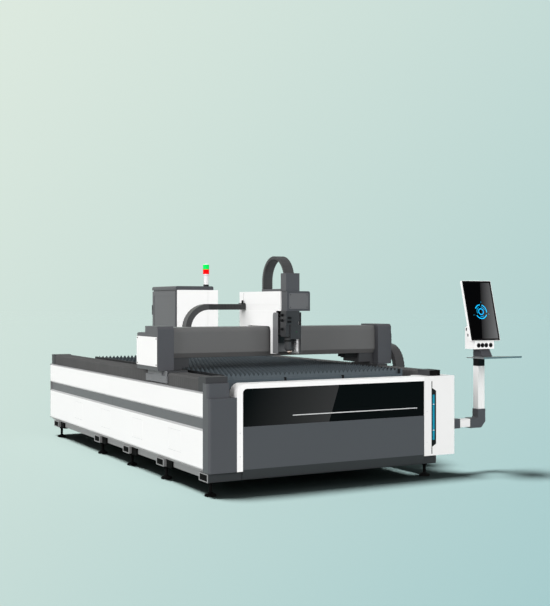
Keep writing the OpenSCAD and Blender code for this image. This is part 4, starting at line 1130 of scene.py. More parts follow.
@dataclass
class Bed(SubAssembly):
    """The welded bed: base tubes, feet, girders, folded side panels, rear sheet and slag trays."""

    coats: Coats = (
        ("base_tubes", Paint.BASE_TUBE, 2.5),
        ("levelling_feet", Paint.RUBBER, 0),
        ("bed_frame", Paint.FRAME_GREY, 0),
        ("slag_trays", Paint.STEEL, 0),
        ("side_panels", Paint.PANEL_WHITE, 1.2),
        ("side_stripes", Paint.STRIPE_GREY, 1.0),
        ("rear_panel", Paint.FRAME_GREY, 1.0),
        ("exhaust_collar", Paint.STEEL, 0),
        ("chain_trough", Paint.STRIPE_GREY, 1.0),
    )
    hatches: int = 4
    hatch_pitch_mm: float = 860.0
    screw_x_mm: float = 1.3
    screw_y_mm: Point = (559.0, 796.0)
    screw_z_mm: Point = (295.0, 442.0)
    tube_w_mm: float = 170.0
    tube_y_mm: tuple[float, ...] = (105.0, 997.0, 1829.0, 2661.0, 4070.0)
    tube_z_mm: Point = (116.0, 180.0)
    # Outer and inner face of the end frames, and the middle of the black plates that paint the
    # shade inside the tubes
    tube_x_mm: tuple[Corner, ...] = ((-0.8, 1.2, 4.0), (2128.8, 2130.8, 2126.0))
    side_mm: float = 16.0
    flange_mm: float = 8.0
    # Gap around, and thickness of, the black plates that paint the shade inside the tubes
    shade_plate_gap_mm: float = 4.0
    shade_plate_mm: float = 4.0
    bracket_x_mm: tuple[Point, ...] = ((24.0, 116.0), (2014.0, 2106.0))
    bracket_mm: float = 120.0

    def add_pieces(self) -> None:
        """Sets the screws of the hatches and frames the cross tubes, with painted shade inside
        their ends.
        """
        spots = [
            (at(self.screw_x_mm, y + i * self.hatch_pitch_mm, z), -Axis.X.value)
            for i in range(self.hatches)
            for y in self.screw_y_mm
            for z in self.screw_z_mm
        ]
        self.shop.fasteners("hatch_screws", spots, 3.5, Paint.PANEL_WHITE, Body.BED)
        self.tube_ends()

    def tube_ends(self) -> None:
        """Frames the open ends of the cross tubes, fills them with black plates as painted shade
        and adds the brackets of the feet.
        """
        frames: list[Box] = []
        plugs: list[Box] = []
        brackets: list[Box] = []
        (low, high), gap = self.tube_z_mm, self.shade_plate_gap_mm
        for y in self.tube_y_mm:
            front, rear = y - self.tube_w_mm / 2, y + self.tube_w_mm / 2
            inner = (front + self.side_mm, rear - self.side_mm)
            for x0, x1, deep in self.tube_x_mm:
                for y0, y1 in ((front, inner[0]), (inner[1], rear)):
                    frames.append(((x0, y0, low), (x1, y1, high), 0.4))
                for z0, z1 in ((low, low + self.flange_mm), (high - self.flange_mm, high)):
                    frames.append(((x0, inner[0], z0), (x1, inner[1], z1), 0.4))
                # Black plates inside the open tube ends: painted shade of the hollow tubes
                x0, x1 = deep - self.shade_plate_mm / 2, deep + self.shade_plate_mm / 2
                plugs.append(((x0, front + gap, low + gap), (x1, rear - gap, high - gap), 0.5))
            if front > self.bracket_mm:
                for x0, x1 in self.bracket_x_mm:
                    foot = (x0, front - self.bracket_mm, low - 4)
                    brackets.append((foot, (x1, front - 0.5, high), 2.0))
        self.shop.blocks("tube_end_frames", frames, Paint.TUBE_END, Body.BED)
        self.shop.blocks("tube_end_plugs", plugs, Paint.RUBBER, Body.BED)
        self.shop.blocks("foot_brackets", brackets, Paint.RUBBER, Body.BED)


@dataclass
class FrontEnd(SubAssembly):
    """The front: corner post, white surround, black panel, lower panel and the right cabinet."""

    coats: Coats = (
        ("corner_post", Paint.CHARCOAL, 4.0),
        ("front_surround", Paint.WHITE, 4.0),
        ("front_glass", Paint.PANEL, 0),
        ("front_lower_panel", Paint.LOWER_PANEL, 0),
        ("right_front_cabinet", Paint.CABINET_WHITE, 1.0),
        ("light_strip_housing", Paint.BLACK, 0.8),
        ("light_strip_lens", Paint.TEAL, 0),
    )
    trim_mm: Box = ((726.0, 3.6, 591.5), (1922.0, 6.2, 598.5), 0.8)
    screw_y_mm: float = -0.2
    screws_mm: tuple[Point, ...] = ((2021, 300), (2021, 560), (262, 300), (262, 480))
    groove_x_mm: Point = (11.5, 3.0)
    groove_y_mm: Point = (-0.3, 1.9)
    grooves_z_mm: tuple[Point, ...] = ((199.2, 254.8), (761.2, 814.8))
    bar_y_mm: Point = (-2.4, 3.7)
    bar_mm: float = 3.6
    bars_z_mm: Point = (80.2, 300.2)

    def add_pieces(self) -> None:
        """Adds the trim line, the screws, and the grooves and bars of the light strip."""
        self.shop.blocks("front_trim_line", [self.trim_mm], Paint.TRIM, Body.BED)
        spots = [(at(x, self.screw_y_mm, z), -Axis.Y.value) for x, z in self.screws_mm]
        self.shop.fasteners("front_screws", spots, 3.0, Paint.STEEL, Body.BED)
        low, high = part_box("light_strip_lens")
        left, right = (1000 * side.x + DRAWING_ZERO.x for side in (low, high))
        foot = 1000 * low.z
        (x0, x1), (y0, y1) = self.groove_x_mm, self.groove_y_mm
        grooves = [((left - x0, y0, a), (left - x1, y1, b), 0.0) for a, b in self.grooves_z_mm]
        self.shop.blocks("strip_grooves", grooves, Paint.BLACK, Body.BED)
        y0, y1 = self.bar_y_mm
        bars = [
            ((left - 0.1, y0, foot + z), (right + 0.1, y1, foot + z + self.bar_mm), 0.4)
            for z in self.bars_z_mm
        ]
        self.shop.blocks("strip_lens_bars", bars, Paint.WHITE, Body.BED)


@dataclass
class RailCovers(SubAssembly):
    """The pleated covers over the two guide rails, with rails and end blocks."""

    coats: Coats = (("guide_rails", Paint.STEEL, 0), ("rail_end_blocks", Paint.END_BLOCK, 2.0))
    pitch_mm: float = 40.0
    fold_mm: float = 6.0
    cloth_mm: float = 2.0
    corner_mm: float = 14.0
    foot_z_mm: float = 800.4
    middle_z_mm: float = 850.0
    sides_mm: tuple[tuple[str, Point], ...] = (("left", (0.0, 185.0)), ("right", (2070.0, 2180.0)))
    # The end fixed to the bed, then the end that the gantry moves
    front_run_mm: Point = (200.2, 829.8)
    rear_run_mm: Point = (4137.8, 1270.2)
    cap_mm: tuple[Box, ...] = (
        ((2070.0, 29.0, 857.6), (2180.0, 30.4, 905.6), 0.6),
        ((2140.0, 29.0, 904.6), (2180.0, 199.0, 906.4), 0.6),
    )

    def ring(self, side: Point, top: float, inset: float) -> list[Point]:
        """One hoop of the cover, open at its foot.

        Args:
            side: Left and right face in mm.
            top: Top in mm.
            inset: How far the hoop lies inside those.

        Returns:
            Points of the hoop, X and Z in mm.
        """
        a, b, t, c = side[0] + inset, side[1] - inset, top - inset, self.corner_mm
        foot = self.foot_z_mm
        return [(a, foot), (a, t - c), (a + c, t), (b - c, t), (b, t - c), (b, foot)]

    def pleat(self, side: Point, y0: float, pitch: float) -> Mesh:
        """One fold of the cover with an outer and an inner skin.

        Args:
            side: Left and right face in mm.
            y0: Front of the fold in mm.
            pitch: Length of the fold in mm.

        Returns:
            The mesh of the fold.
        """
        bm = bmesh.new()
        top = 1000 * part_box("front_bellows")[1].z
        rings = []
        for share, inset in ((0.0, self.fold_mm), (0.42, 1.0), (0.58, 1.0), (1.0, self.fold_mm)):
            inner = self.ring(side, top, inset + self.cloth_mm)
            loop = self.ring(side, top, inset) + list(reversed(inner))
            rings.append([bm.verts.new(at(x, y0 + share * pitch, z)) for x, z in loop])
        for low, high in zip(rings, rings[1:]):
            for i in range(len(low)):
                k = (i + 1) % len(low)
                bm.faces.new((low[i], low[k], high[k], high[i]))
        return to_mesh(bm, "pleat", outwards=False)

    def cover(self, name: str, node: str, side: Point, run: Point) -> None:
        """One pleated cover, baked in place at rest.

        Args:
            name: Name of the piece.
            node: The CAD node that it replaces.
            side: Left and right face in mm.
            run: The fixed end and the moving end in mm.
        """
        length = abs(run[1] - run[0])
        count = round(length / self.pitch_mm)
        unit = self.pleat(side, min(run), length / count)
        made = self.shop.in_row(name, unit, count, length / count, Paint.CLOTH)
        bm = bmesh.new()
        bm.from_mesh(made)
        bmesh.ops.holes_fill(bm, edges=[e for e in bm.edges if e.is_boundary], sides=0)
        bmesh.ops.recalc_face_normals(bm, faces=bm.faces)
        bm.to_mesh(made)
        bm.free()
        made.set_sharp_from_angle(angle=math.radians(20))
        shape = self.shop.piece(name, made, Paint.CLOTH, None, node)
        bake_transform(shape)

    def add_pieces(self) -> None:
        """Builds the covers and the cap of the right end block."""
        self.shop.blocks("end_block_cap", self.cap_mm, Paint.RUBBER, Body.BED)
        for hand, side in self.sides_mm:
            self.cover(f"front_cover_{hand}", "front_bellows", side, self.front_run_mm)
            self.cover(f"rear_cover_{hand}", "rear_bellows", side, self.rear_run_mm)


@dataclass
class SlatTable(SubAssembly):
    """The saw-toothed slats in their combs, with clips along the front bar."""

    coats: Coats = (("slat_frame", Paint.COMB, 0),)
    slats: int = 32
    pitch_mm: float = 100.0
    thick_mm: float = 4.0
    teeth: int = 42
    tooth_mm: float = 28.0
    tip_share: float = 0.1
    clip_xs_mm: Point = (789.0, 1337.0)
    clip_mm: float = 18.0

    def slat(self) -> Mesh:
        """The front slat: a plate with a row of pointed teeth, as deep as in the photo.

        Returns:
            The mesh of the slat.
        """
        (x0, y0, z0), (x1, _, tip) = (1000 * end + DRAWING_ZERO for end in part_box("slats"))
        pitch, root = (x1 - x0) / self.teeth, tip - self.tooth_mm
        flat = pitch * self.tip_share / 2
        outline = [(x0, z0)]
        for i in range(self.teeth):
            left, middle = x0 + i * pitch, x0 + (i + 0.5) * pitch
            outline += [(left, root), (middle - flat, tip), (middle + flat, tip)]
        outline += [(x1, root), (x1, z0)]
        bm = bmesh.new()
        outline_prism(bm, outline, lambda x, z, y: at(x, y, z), y0, y0 + self.thick_mm)
        return to_mesh(bm, "slat")

    def add_pieces(self) -> None:
        """Sets the slats in their row and adds the clips."""
        made = self.shop.in_row("saw_slats", self.slat(), self.slats, self.pitch_mm, Paint.SLATS)
        self.shop.piece("saw_slats", made, Paint.SLATS, Body.BED, "slats")
        clips: list[Box] = []
        for x in self.clip_xs_mm:
            x0, x1 = x - self.clip_mm / 2, x + self.clip_mm / 2
            clips.append(((x0, 240.0, 849.0), (x1, 246.2, 878.0), 1.5))
            clips.append(((x0, 240.0, 870.4), (x1, 259.6, 876.0), 1.0))
        self.shop.blocks("slat_clips", clips, Paint.BLACK, Body.BED)


@dataclass
class Gantry(SubAssembly):
    """The beam that bridges the bed, with its end caps, sliders and rails."""

    coats: Coats = (
        ("gantry_beam", Paint.BEAM_GREY, 4.0),
        ("beam_rails", Paint.TRAY, 0),
        ("gantry_sliders", Paint.SLIDER, 2.0),
        ("gantry_end_caps", Paint.CHARCOAL, 3.0),
        ("gantry_end_covers", Paint.END_COVER, 1.2),
        ("gantry_drives", Paint.BLACK, 2.0),
        ("beam_chain_tray", Paint.BEAM_GREY, 1.0),
    )
    cover_z_mm: Point = (964.0, 1181.0)
    cover_y_mm: Point = (890.0, 1330.0)
    screw_proud_m: float = 0.0002
    # Side, height and places along the bed of each row of bolts
    bolt_rows_mm: tuple[tuple[float, float, tuple[float, ...]], ...] = (
        (-14.2, 845.0, (850.0, 950.0, 1150.0, 1250.0)),
        (-14.2, 895.0, (960.0, 1060.0)),
        (2194.2, 845.0, (850.0, 950.0, 1150.0, 1250.0)),
    )

    def add_pieces(self) -> None:
        """Sets the screws of the end covers and the bolts of the sliders."""
        outer = [corner.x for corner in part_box("gantry_end_covers")]
        spots = []
        for x, way in zip(outer, (-1, 1)):
            for y in self.cover_y_mm:
                for z in self.cover_z_mm:
                    place = at(0, y, z)
                    place.x = x + way * self.screw_proud_m
                    spots.append((place, way * Axis.X.value))
        self.shop.fasteners("end_cover_screws", spots, 6.0, Paint.BLACK, Body.GANTRY)
        bolts = [
            (at(x, y, z), math.copysign(1, x) * Axis.X.value)
            for x, z, row in self.bolt_rows_mm
            for y in row
        ]
        self.shop.fasteners("slider_bolts", bolts, 6.0, Paint.FRAME_GREY, Body.GANTRY)


@dataclass
class ChainRun:
    """A row of drag chain links along a path in one upright plane."""

    name: str
    node: str
    points: list[Point]
    plane: Axis
    side_mm: float
    width_mm: float
    thick_mm: float
    links: int
    finish: Finish = Paint.CHAIN

    def legs(self) -> list[tuple[Point, Point, float]]:
        """Both ends and the length of each straight leg of the path."""
        return [(a, b, math.dist(a, b)) for a, b in zip(self.points, self.points[1:])]

    def pitch(self) -> float:
        """Length of one link in mm."""
        return sum(length for _, _, length in self.legs()) / self.links

    def along(self) -> list[Point]:
        """Spreads link centres evenly over the path.

        Returns:
            One point for each link, in mm.
        """
        legs = self.legs()
        found = []
        for i in range(self.links):
            goal = (i + 0.5) * self.pitch()
            for leg, (a, b, length) in enumerate(legs, 1):
                if goal <= length or leg == len(legs):
                    share = min(1.0, goal / length)
                    found.append((a[0] + share * (b[0] - a[0]), a[1] + share * (b[1] - a[1])))
                    break
                goal -= length
        return found

    def unit(self) -> Mesh:
        """One link: two lapped side plates on each side and a lid over and under the cables.

        Returns:
            The mesh of the link, lying along X with its width along Y.
        """
        bm = bmesh.new()
        p, w, half = self.pitch(), self.width_mm, self.thick_mm / 2
        plate = 0.03 * w

        def place(u: float, v: float, d: float) -> Vector:
            """Point of the link in metres."""
            return Vector((u, d, v)) / 1000

        def lug(hand: int) -> list[Point]:
            """Outline of a lapped side plate with one round end.

            Args:
                hand: 1 where the round end lies ahead, -1 where it lies behind.

            Returns:
                Points of the outline in mm.
            """
            end, foot = hand * 0.55 * p, -hand * 0.1 * p
            bow = [
                (end - hand * 0.12 * p * (1 - math.cos(a)), (half - 0.3) * math.sin(a))
                for a in (math.radians(d) for d in (-88, -55, -20, 20, 55, 88))
            ]
            return [(foot, -half), *bow, (foot, half)]

        lid = ((-0.56, -2.5), (0.56, -2.5), (0.56, 2.2), (0.5, 2.6), (-0.56, 0.9))
        for sign in (-1, 1):
            edge, step = sign * w / 2, sign * plate
            outline_prism(bm, lug(1), place, edge, edge - step)
            outline_prism(bm, lug(-1), place, edge - step, edge - 2 * step)
        for sign in (-1, 1):
            shifted = [(u * p, sign * (half - 3.0 + v)) for u, v in lid]
            outline_prism(bm, shifted, place, -w / 2 + 2 * plate, w / 2 - 2 * plate)
        return to_mesh(bm, "link")

    def build(self, shop: Workshop, body: Body | None) -> Object:
        """Threads the links along the path.

        Args:
            shop: Makes the pieces.
            body: The body that carries the links, or None.

        Returns:
            The finished piece.
        """
        middle = self.side_mm + self.width_mm / 2
        along_bed = self.plane is Axis.X
        centres = [at(middle, u, v) if along_bed else at(u, middle, v) for u, v in self.along()]
        host = bpy.data.meshes.new(self.name)
        host.from_pydata(centres, [(i, i + 1) for i in range(len(centres) - 1)], [])
        values = {"Count": self.links, "Across": self.plane.value, "Finish": self.finish.material()}
        made = Repeat.realise(self.name, Repeat.links(), host, self.unit(), **values)
        return shop.piece(self.name, made, self.finish, body, self.node)


@dataclass
class DragChains(SubAssembly):
    """The three drag chains: beside the bed, behind the beam and over the head."""

    bend_step_deg: float = 5.0

    def bend(self, centre: Point, radius: float, start: float, stop: float) -> list[Point]:
        """Points of a round bend."""
        return arc(centre, radius, start, stop, self.bend_step_deg)

    def stretch(self, run: ChainRun, ends: tuple[Body, Body], start: Vector, stop: Vector) -> None:
        """Threads a run and bakes it in place, on no body."""
        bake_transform(run.build(self.shop, None))

    def add_pieces(self) -> None:
        """Builds the three chains."""
        side = (Axis.X, 2265, 100, 52)
        path = [(2450.0, 681.0), *self.bend((1033.0, 875.0), 194.0, 270, 90)]
        run = ChainRun("side_chain_bend", "x_chain_bend", path, *side, 66)
        run.build(self.shop, Body.SIDE_CHAIN)
        path = [(1033.2, 1069.0), (1340.0, 1069.0)]
        run = ChainRun("side_chain_upper", "x_chain_upper", path, *side, 10)
        ends = (Body.GANTRY, Body.SIDE_CHAIN)
        self.stretch(run, ends, at(2300, 1340, 1069), at(2300, 1033, 1069))

        beam = (Axis.Y, 1370, 90, 52)
        path = [(1120.0, 1045.0), *self.bend((620.0, 1244.0), 199.0, 270, 90)]
        run = ChainRun("beam_chain_bend", "y_chain_bend", path, *beam, 37)
        run.build(self.shop, Body.BEAM_CHAIN)
        path = [(620.2, 1443.0), (989.8, 1443.0)]
        # Painted shade: this run takes the darker copy of the chain nylon
        run = ChainRun("beam_chain_upper", "y_chain_upper", path, *beam, 12, Paint.CHAIN_SHADED)
        ends = (Body.CARRIAGE, Body.BEAM_CHAIN)
        self.stretch(run, ends, at(990, 1400, 1443), at(620, 1400, 1443))

        top = self.bend((850.0, 1671.0), 201.5, 0, 180)
        path = [(1051.5, 1600.4), *top, (648.5, 1593.0)]
        run = ChainRun("head_chain", "z_chain", path, Axis.X, 1000, 92, 27, 40)
        ends = (Body.CARRIAGE, Body.HEAD)
        self.stretch(run, ends, at(1046, 1051.5, 1700), at(1046, 648.5, 1700))


@dataclass
class Carriage(SubAssembly):
    """The carriage with its white cover, and the cutting head in front of it."""

    coats: Coats = (
        ("carriage_cover", Paint.WHITE, 1.2),
        ("carriage_plate", Paint.PLATE, 1.0),
        ("carriage_motor", Paint.CHARCOAL, 2.0),
        ("z_slide", Paint.HEAD, 1.0),
        ("head_cover", Paint.HEAD_COVER, 1.5),
        ("z_top_cover", Paint.CHARCOAL, 2.0),
        ("laser_head", Paint.HEAD, 2.0),
        ("nozzle", Paint.COPPER, 0),
    )
    left_mm: float = 990.0
    drawers_z_mm: Point = (1308.0, 1340.0)
    plugs_z_mm: Corner = (1255.0, 1330.0, 1375.0)
    # Radius and height of the turned parts
    gland: tuple[Point, ...] = ((0, 0), (9, 0), (9, 22), (6, 26), (0, 26))
    plug: tuple[Point, ...] = ((0, 0), (13, 0), (13, 12), (9, 16), (9, 26), (0, 26))
    collar: tuple[Point, ...] = ((0, 0), (50, 0), (50, 9), (46, 12), (0, 12))
    lamp: tuple[Point, ...] = ((0, -1), (4, -1), (4, 1.2), (2.5, 2.4), (0, 2.8))
    fitting: tuple[Point, ...] = (
        (0, 0), (6, 0), (9, 5), (9, 30), (7.6, 34), (7.6, 78),
        (9, 80), (9, 94), (7.6, 96), (7.6, 114), (0, 114),
    )

    def add_pieces(self) -> None:
        """Adds the seam of the cover, the end bracket of the beam chain and the head's parts."""
        x, bm = self.left_mm, bmesh.new()
        block(bm, (x - 0.5, 1412, 1478), (x + 0.3, 1415, 1572))
        block(bm, (x - 34, 1376, 1470), (x + 0.2, 1454, 1478), 1.5)
        block(bm, (x - 8, 1376, 1420), (x + 0.2, 1454, 1478), 1.5)
        turned(bm, self.gland, at(x - 20, 1400, 1478), Axis.Z.value, 16)
        self.shop.from_bmesh("chain_end_bracket", bm, Paint.BLACK, Body.CARRIAGE)
        self.head_trim()

    def head_trim(self) -> None:
        """Adds the lens drawers, lamp, gas fitting and plugs of the cutting head."""
        front = 1000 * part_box("laser_head")[0].y + DRAWING_ZERO.y
        bm = bmesh.new()
        for z in self.drawers_z_mm:
            block(bm, (1002, front + 8, z), (1040, front + 12.2, z + 20), 1.5)
            block(bm, (1012, front + 4, z + 6), (1030, front + 8.4, z + 14), 1.2)
        for z in self.plugs_z_mm:
            turned(bm, self.plug, at(self.left_mm + 0.2, 660, z), -Axis.X.value, 18)
        turned(bm, self.collar, at(1050, 648.5, 1150), Axis.Z.value, 32)
        self.shop.from_bmesh("head_plugs_and_drawers", bm, Paint.BLACK, Body.HEAD)
        bm = bmesh.new()
        turned(bm, self.lamp, at(1085, front - 0.1, 1232), -Axis.Y.value, 16)
        self.shop.from_bmesh("head_status_lamp", bm, Paint.STATUS, Body.HEAD)
        bm = bmesh.new()
        turned(bm, self.fitting, at(1108, 620, 1055.2), Axis.Z.value, 20)
        self.shop.from_bmesh("gas_fitting", bm, Paint.TRIM, Body.HEAD)
        places = [at(x, front + 7.8, z) for x in (1032, 1193) for z in (1442, 1548)]
        spots = [(place, -Axis.Y.value) for place in places]
        self.shop.fasteners("head_cover_screws", spots, 4.0, Paint.BLACK, Body.HEAD)


@dataclass
class Console(SubAssembly):
    """The operator console on its arm: column, tray, control box and upright screen."""

    coats: Coats = (
        ("arm_fittings", Paint.CHARCOAL, 4.0),
        ("arm_tubes", Paint.COLUMN_WHITE, 1.5),
        ("swivel_collar", Paint.COLLAR, 3.0),
        ("keyboard_tray", Paint.TRAY, 1.5),
        ("console_housing", Paint.WHITE, 0),
        ("screen", Paint.SCREEN, 0),
        *((f"button_{i}", Paint.GLOSS_BLACK, 0) for i in range(1, 5)),
    )
    lean_deg: float = 14.4
    screen_x0_mm: float = 2494.0
    screen_z0_mm: float = 1148.6
    # Low and high corner of the screen on its slope, and the width of its border
    screen_mm: tuple[Point, Point] = ((3.2, 3.2), (319.8, 540.8))
    border_mm: float = 15.0
    flange_mm: Point = (160.0, 262.0)
    # Radius and width of each pass of the flange, with the spans that it cuts, in degrees
    passes: tuple[tuple[float, float, tuple[Point, ...]], ...] = (
        (62.0, 8.0, ((-5, 70), (95, 150), (215, 330))),
        (44.0, 3.0, ((20, 80), (120, 200), (250, 300))),
        (26.0, 8.0, ((0, 360),)),
    )
    ticks_deg: Corner = (80, 200, 345)
    tick_mm: Corner = (80.0, 92.0, 1.8)
    button_face_mm: float = 14.0
    bezel_ring: tuple[Point, ...] = (
        (16.6, -0.5), (20.0, -0.5), (20.0, 1.4), (18.6, 2.4), (16.6, 2.4), (16.6, -0.5)
    )
    port_x_mm: float = 46.0
    ports_mm: tuple[Point, ...] = ((126.0, 1236.0), (104.0, 1184.0))

    def on_screen(self, u: float, v: float, d: float) -> Vector:
        """Turns a place on the leaning screen into a point of the frame.

        Args:
            u: Distance from the left edge of the housing in mm.
            v: Distance up the slope in mm.
            d: Depth behind the housing's front plane in mm.

        Returns:
            The point in the row frame.
        """
        sine, cosine = (turn(math.radians(self.lean_deg)) for turn in (math.sin, math.cos))
        rise = self.screen_z0_mm + v * cosine - d * sine
        return at(self.screen_x0_mm + u, v * sine + d * cosine, rise)

    def stroke(self, bm: BMesh, path: Sequence[Point], width: float) -> None:
        """Draws one line of the display as a thin raised band.

        Args:
            bm: The mesh that gets the band.
            path: Points of the line in mm on the screen.
            width: Width of the line in mm.
        """
        h, e = width / 2, 0.35 * width
        for (ax, ay), (bx, by) in zip(path, path[1:]):
            length = math.dist((ax, ay), (bx, by))
            tx, ty = (bx - ax) / length, (by - ay) / length
            quad = [
                (ax - tx * e - ty * h, ay - ty * e + tx * h),
                (ax - tx * e + ty * h, ay - ty * e - tx * h),
                (bx + tx * e + ty * h, by + ty * e - tx * h),
                (bx + tx * e - ty * h, by + ty * e + tx * h),
            ]
            outline_prism(bm, quad, self.on_screen, 0.5, 0.9)

    def display(self) -> None:
        """Draws a plain cutting plan: a flange with its bore, cut in three passes, and ticks."""
        bm = bmesh.new()
        for radius, width, spans in self.passes:
            for start, stop in spans:
                self.stroke(bm, arc(self.flange_mm, radius, start, stop, 9.0), width)
        *radii, width = self.tick_mm
        for turn in self.ticks_deg:
            tick = [arc(self.flange_mm, radius, turn, turn + 1, 9.0)[0] for radius in radii]
            self.stroke(bm, tick, width)
        self.shop.from_bmesh("screen_display", bm, Paint.DISPLAY, Body.CONSOLE)

    def bezel(self) -> None:
        """Adds the black border around the lit part of the screen."""
        bm = bmesh.new()
        ((u0, v0), (u1, v1)), edge = self.screen_mm, self.border_mm
        for a, b, c, d in (
            (u0, v0, u0 + edge, v1),
            (u1 - edge, v0, u1, v1),
            (u0 + edge, v0, u1 - edge, v0 + edge),
            (u0 + edge, v1 - edge, u1 - edge, v1),
        ):
            outline_prism(bm, [(a, b), (c, b), (c, d), (a, d)], self.on_screen, 0.2, 1.2)
        self.shop.from_bmesh("screen_bezel", bm, Paint.GLOSS_BLACK, Body.CONSOLE)

    def add_pieces(self) -> None:
        """Adds display, bezels and ports."""
        self.display()
        self.bezel()
        bm = bmesh.new()
        for i in range(1, 5):
            spot = sum(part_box(f"button_{i}"), Vector()) / 2
            spot.y = at(0, self.button_face_mm, 0).y
            turned(bm, self.bezel_ring, spot, -Axis.Y.value, 32)
        bmesh.ops.remove_doubles(bm, verts=bm.verts, dist=1e-5)
        self.shop.from_bmesh("button_bezels", bm, Paint.GLOSS_BLACK, Body.CONSOLE)
        x = self.screen_x0_mm + self.port_x_mm
        ports = [((x - 1.2, y - 7, z), (x + 0.3, y + 7, z + 24), 0.5) for y, z in self.ports_mm]
        self.shop.blocks("side_ports", ports, Paint.BLACK, Body.CONSOLE)


@dataclass
class RearCabinet(SubAssembly):
    """The control cabinet behind the bed, with its door and tower light."""

    coats: Coats = (
        ("cabinet_shell", Paint.CABINET_GREY, 3.0),
        ("cabinet_front", Paint.WHITE, 1.5),
        ("cabinet_top", Paint.CHARCOAL, 4.0),
        ("cabinet_door", Paint.DOOR, 1.0),
        ("laser_source", Paint.STEEL, 4.0),
        ("tower_pole", Paint.TOWER, 0),
        ("tower_lens_red", Paint.RED, 0),
        ("tower_lens_green", Paint.GREEN, 0),
    )


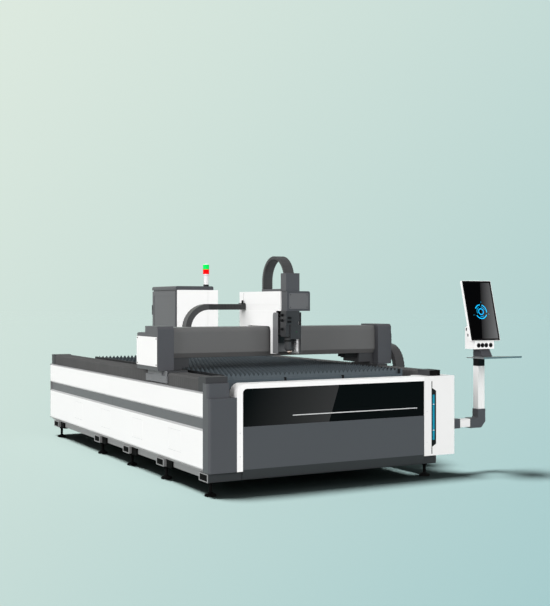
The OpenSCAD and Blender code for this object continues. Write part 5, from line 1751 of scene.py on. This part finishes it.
@dataclass
class Studio:
    """Floor, light and camera."""

    lens_mm: float = 61.156
    heading_deg: float = -28.02
    eye: Corner = (-4.5985, -9.5470, 1.4782)
    floor_m: float = 400.0
    floor_gain: float = 0.2457
    floor_bounce: str = "#3b3b3b"
    # How much lower the floor lies than the feet
    floor_drop_m: float = 0.0005
    room_light: float = 0.25
    room_pale: str = "#f6f9e9"
    room_deep: str = "#79b7c1"
    # Name, direction from the machine, strength, width in degrees, and True for the floor alone
    lamps: tuple[tuple[str, Corner, float, float, bool], ...] = (
        ("top_of_floor", (-0.25, 0.24, 1.0), 12.78, 20.0, True),
        ("key_left", (-0.95, -0.12, 0.28), 3.15, 60.0, False),
        ("fill_front", (0.08, -0.95, 0.3), 2.75, 60.0, False),
        ("fill_back", (0.7, 0.65, 0.3), 1.5, 90.0, False),
    )

    def fade(self, tree: NodeTree, way: NodeSocket) -> NodeSocket:
        """Colour of the room in one direction: pale at the upper left, deeper at the lower right.

        Args:
            tree: The tree that gets the nodes.
            way: The direction, of length one.

        Returns:
            The colour.
        """
        turn = math.radians(self.heading_deg)
        slope = (0.45 * math.cos(turn), 0.45 * math.sin(turn), -0.42)
        along = add_node(tree, "ShaderNodeVectorMath", {0: way, 1: slope}, operation="DOT_PRODUCT")
        shift = {0: along.outputs["Value"], 1: 0.5}
        part = add_node(tree, "ShaderNodeMath", shift, operation="ADD", use_clamp=True)
        blend = {0: part.outputs[0], 6: srgb(self.room_pale), 7: srgb(self.room_deep)}
        return add_node(tree, "ShaderNodeMix", blend, data_type="RGBA").outputs[2]

    def seen(self, tree: NodeTree) -> NodeSocket:
        """One where the camera, a reflection or a clear part shows the room, nought for its light.

        Args:
            tree: The tree that gets the nodes.

        Returns:
            The value.
        """
        ray = add_node(tree, "ShaderNodeLightPath")
        pair = {0: ray.outputs["Is Camera Ray"], 1: ray.outputs["Is Glossy Ray"]}
        direct = add_node(tree, "ShaderNodeMath", pair, operation="MAXIMUM").outputs[0]
        pair = {0: direct, 1: ray.outputs["Is Transmission Ray"]}
        return add_node(tree, "ShaderNodeMath", pair, operation="MAXIMUM").outputs[0]

    def floor(self) -> Object:
        """Lays the pale floor, in the colours of the room behind it, and lets it fade out far away.

        Returns:
            The floor.
        """
        mesh = bpy.data.meshes.new("studio_floor")
        h = self.floor_m / 2
        mesh.from_pydata([(-h, -h, 0), (h, -h, 0), (h, h, 0), (-h, h, 0)], [], [(0, 1, 2, 3)])
        floor = add_object("studio_floor", mesh)
        floor.location.z = -self.floor_drop_m
        material = bpy.data.materials.new("studio_floor_paint")
        material.use_nodes = True
        tree = material.node_tree
        tree.nodes.clear()
        place = add_node(tree, "ShaderNodeTexCoord").outputs["Object"]
        gap = {0: place, 1: self.eye}
        reach = add_node(tree, "ShaderNodeVectorMath", gap, operation="SUBTRACT").outputs[0]
        way = add_node(tree, "ShaderNodeVectorMath", {0: reach}, operation="NORMALIZE").outputs[0]
        gain = {0: self.fade(tree, way), "Scale": self.floor_gain}
        level = add_node(tree, "ShaderNodeVectorMath", gain, operation="SCALE").outputs[0]
        blend = {0: self.seen(tree), 6: srgb(self.floor_bounce), 7: level}
        tint = add_node(tree, "ShaderNodeMix", blend, data_type="RGBA").outputs[2]
        paint = add_node(tree, "ShaderNodeBsdfDiffuse", {"Color": tint}).outputs[0]
        span = add_node(tree, "ShaderNodeVectorMath", {0: reach}, operation="LENGTH")
        far = {"Value": span.outputs["Value"], "From Min": 0.2 * h, "From Max": 0.9 * h}
        thin = add_node(tree, "ShaderNodeMapRange", far).outputs[0]
        clear = add_node(tree, "ShaderNodeBsdfTransparent").outputs[0]
        blended = add_node(tree, "ShaderNodeMixShader", {0: thin, 1: paint, 2: clear})
        add_node(tree, "ShaderNodeOutputMaterial", {"Surface": blended.outputs[0]})
        mesh.materials.append(material)
        return floor

    def room(self) -> None:
        """Sets the even light of the room, its fading walls, and what glossy parts mirror of it."""
        world = bpy.data.worlds.new("studio_room")
        bpy.context.scene.world = world
        world.use_nodes = True
        tree = world.node_tree
        tree.nodes.clear()
        even_light = {"Color": srgb("#ffffff"), "Strength": self.room_light}
        light = add_node(tree, "ShaderNodeBackground", even_light).outputs[0]
        way = add_node(tree, "ShaderNodeTexCoord").outputs["Generated"]
        turn = math.radians(self.heading_deg)
        ahead, right = (
            add_node(
                tree, "ShaderNodeVectorMath", {0: way, 1: direction}, operation="DOT_PRODUCT"
            ).outputs["Value"]
            for direction in (
                (-math.sin(turn), math.cos(turn), 0.0),
                (math.cos(turn), math.sin(turn), 0.0),
            )
        )
        span = {"Value": ahead, "From Min": 0.9, "From Max": 0.6}
        aside = add_node(tree, "ShaderNodeMapRange", span).outputs[0]
        mirrored = add_node(tree, "ShaderNodeLightPath").outputs["Is Glossy Ray"]
        hidden = add_node(tree, "ShaderNodeMath", {0: aside, 1: mirrored}, operation="MULTIPLY")
        span = {"Value": right, "From Min": -0.85, "From Max": 0.85, "To Min": 1.0, "To Max": 0.08}
        grey = add_node(tree, "ShaderNodeMapRange", span).outputs[0]
        blend = {0: hidden.outputs[0], 6: self.fade(tree, way), 7: grey}
        colour = add_node(tree, "ShaderNodeMix", blend, data_type="RGBA").outputs[2]
        wall = add_node(tree, "ShaderNodeBackground", {"Color": colour, "Strength": 1.0})
        sides = {0: self.seen(tree), 1: light, 2: wall.outputs[0]}
        mixed = add_node(tree, "ShaderNodeMixShader", sides).outputs[0]
        add_node(tree, "ShaderNodeOutputWorld", {"Surface": mixed})

    def light(self, floor: Object) -> None:
        """Adds the soft, even lamps far away, each for the floor or for the machine.

        Args:
            floor: The floor.
        """
        for name, towards, strength, spread_deg, floor_alone in self.lamps:
            data = bpy.data.lights.new(name, "SUN")
            data.energy = strength
            data.angle = math.radians(spread_deg)
            lamp = add_object(name, data)
            lamp.rotation_euler = Vector(towards).to_track_quat("Z", "Y").to_euler()
            lamp.visible_glossy = False
            lit = bpy.data.collections.new(name + "_reach")
            lit.objects.link(floor)
            lamp.light_linking.receiver_collection = lit
            state = "INCLUDE" if floor_alone else "EXCLUDE"
            lit.collection_objects[0].light_linking.link_state = state

    def build(self) -> None:
        """Sets up the studio with its camera."""
        floor = self.floor()
        self.room()
        self.light(floor)
        data = bpy.data.cameras.new("photo_camera")
        data.lens = self.lens_mm
        data.sensor_width = 36.0
        data.clip_end = 300.0
        camera = add_object("photo_camera", data)
        camera.location = self.eye
        camera.rotation_euler = (math.radians(90), 0.0, math.radians(self.heading_deg))
        bpy.context.scene.camera = camera
        bpy.context.scene.view_settings.view_transform = "Standard"


PARTS = (
    Bed, FrontEnd, RailCovers, SlatTable, Gantry, DragChains, Carriage, Console, RearCabinet
)


def main() -> None:
    logging.basicConfig(level=logging.INFO, format="%(name)s: %(message)s")
    for old in list(bpy.data.objects):
        bpy.data.objects.remove(old)
    shop = Workshop(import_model())
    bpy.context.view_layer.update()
    for part in PARTS:
        part(shop).build()
    Studio().build()


if __name__ == "__main__":
    main()
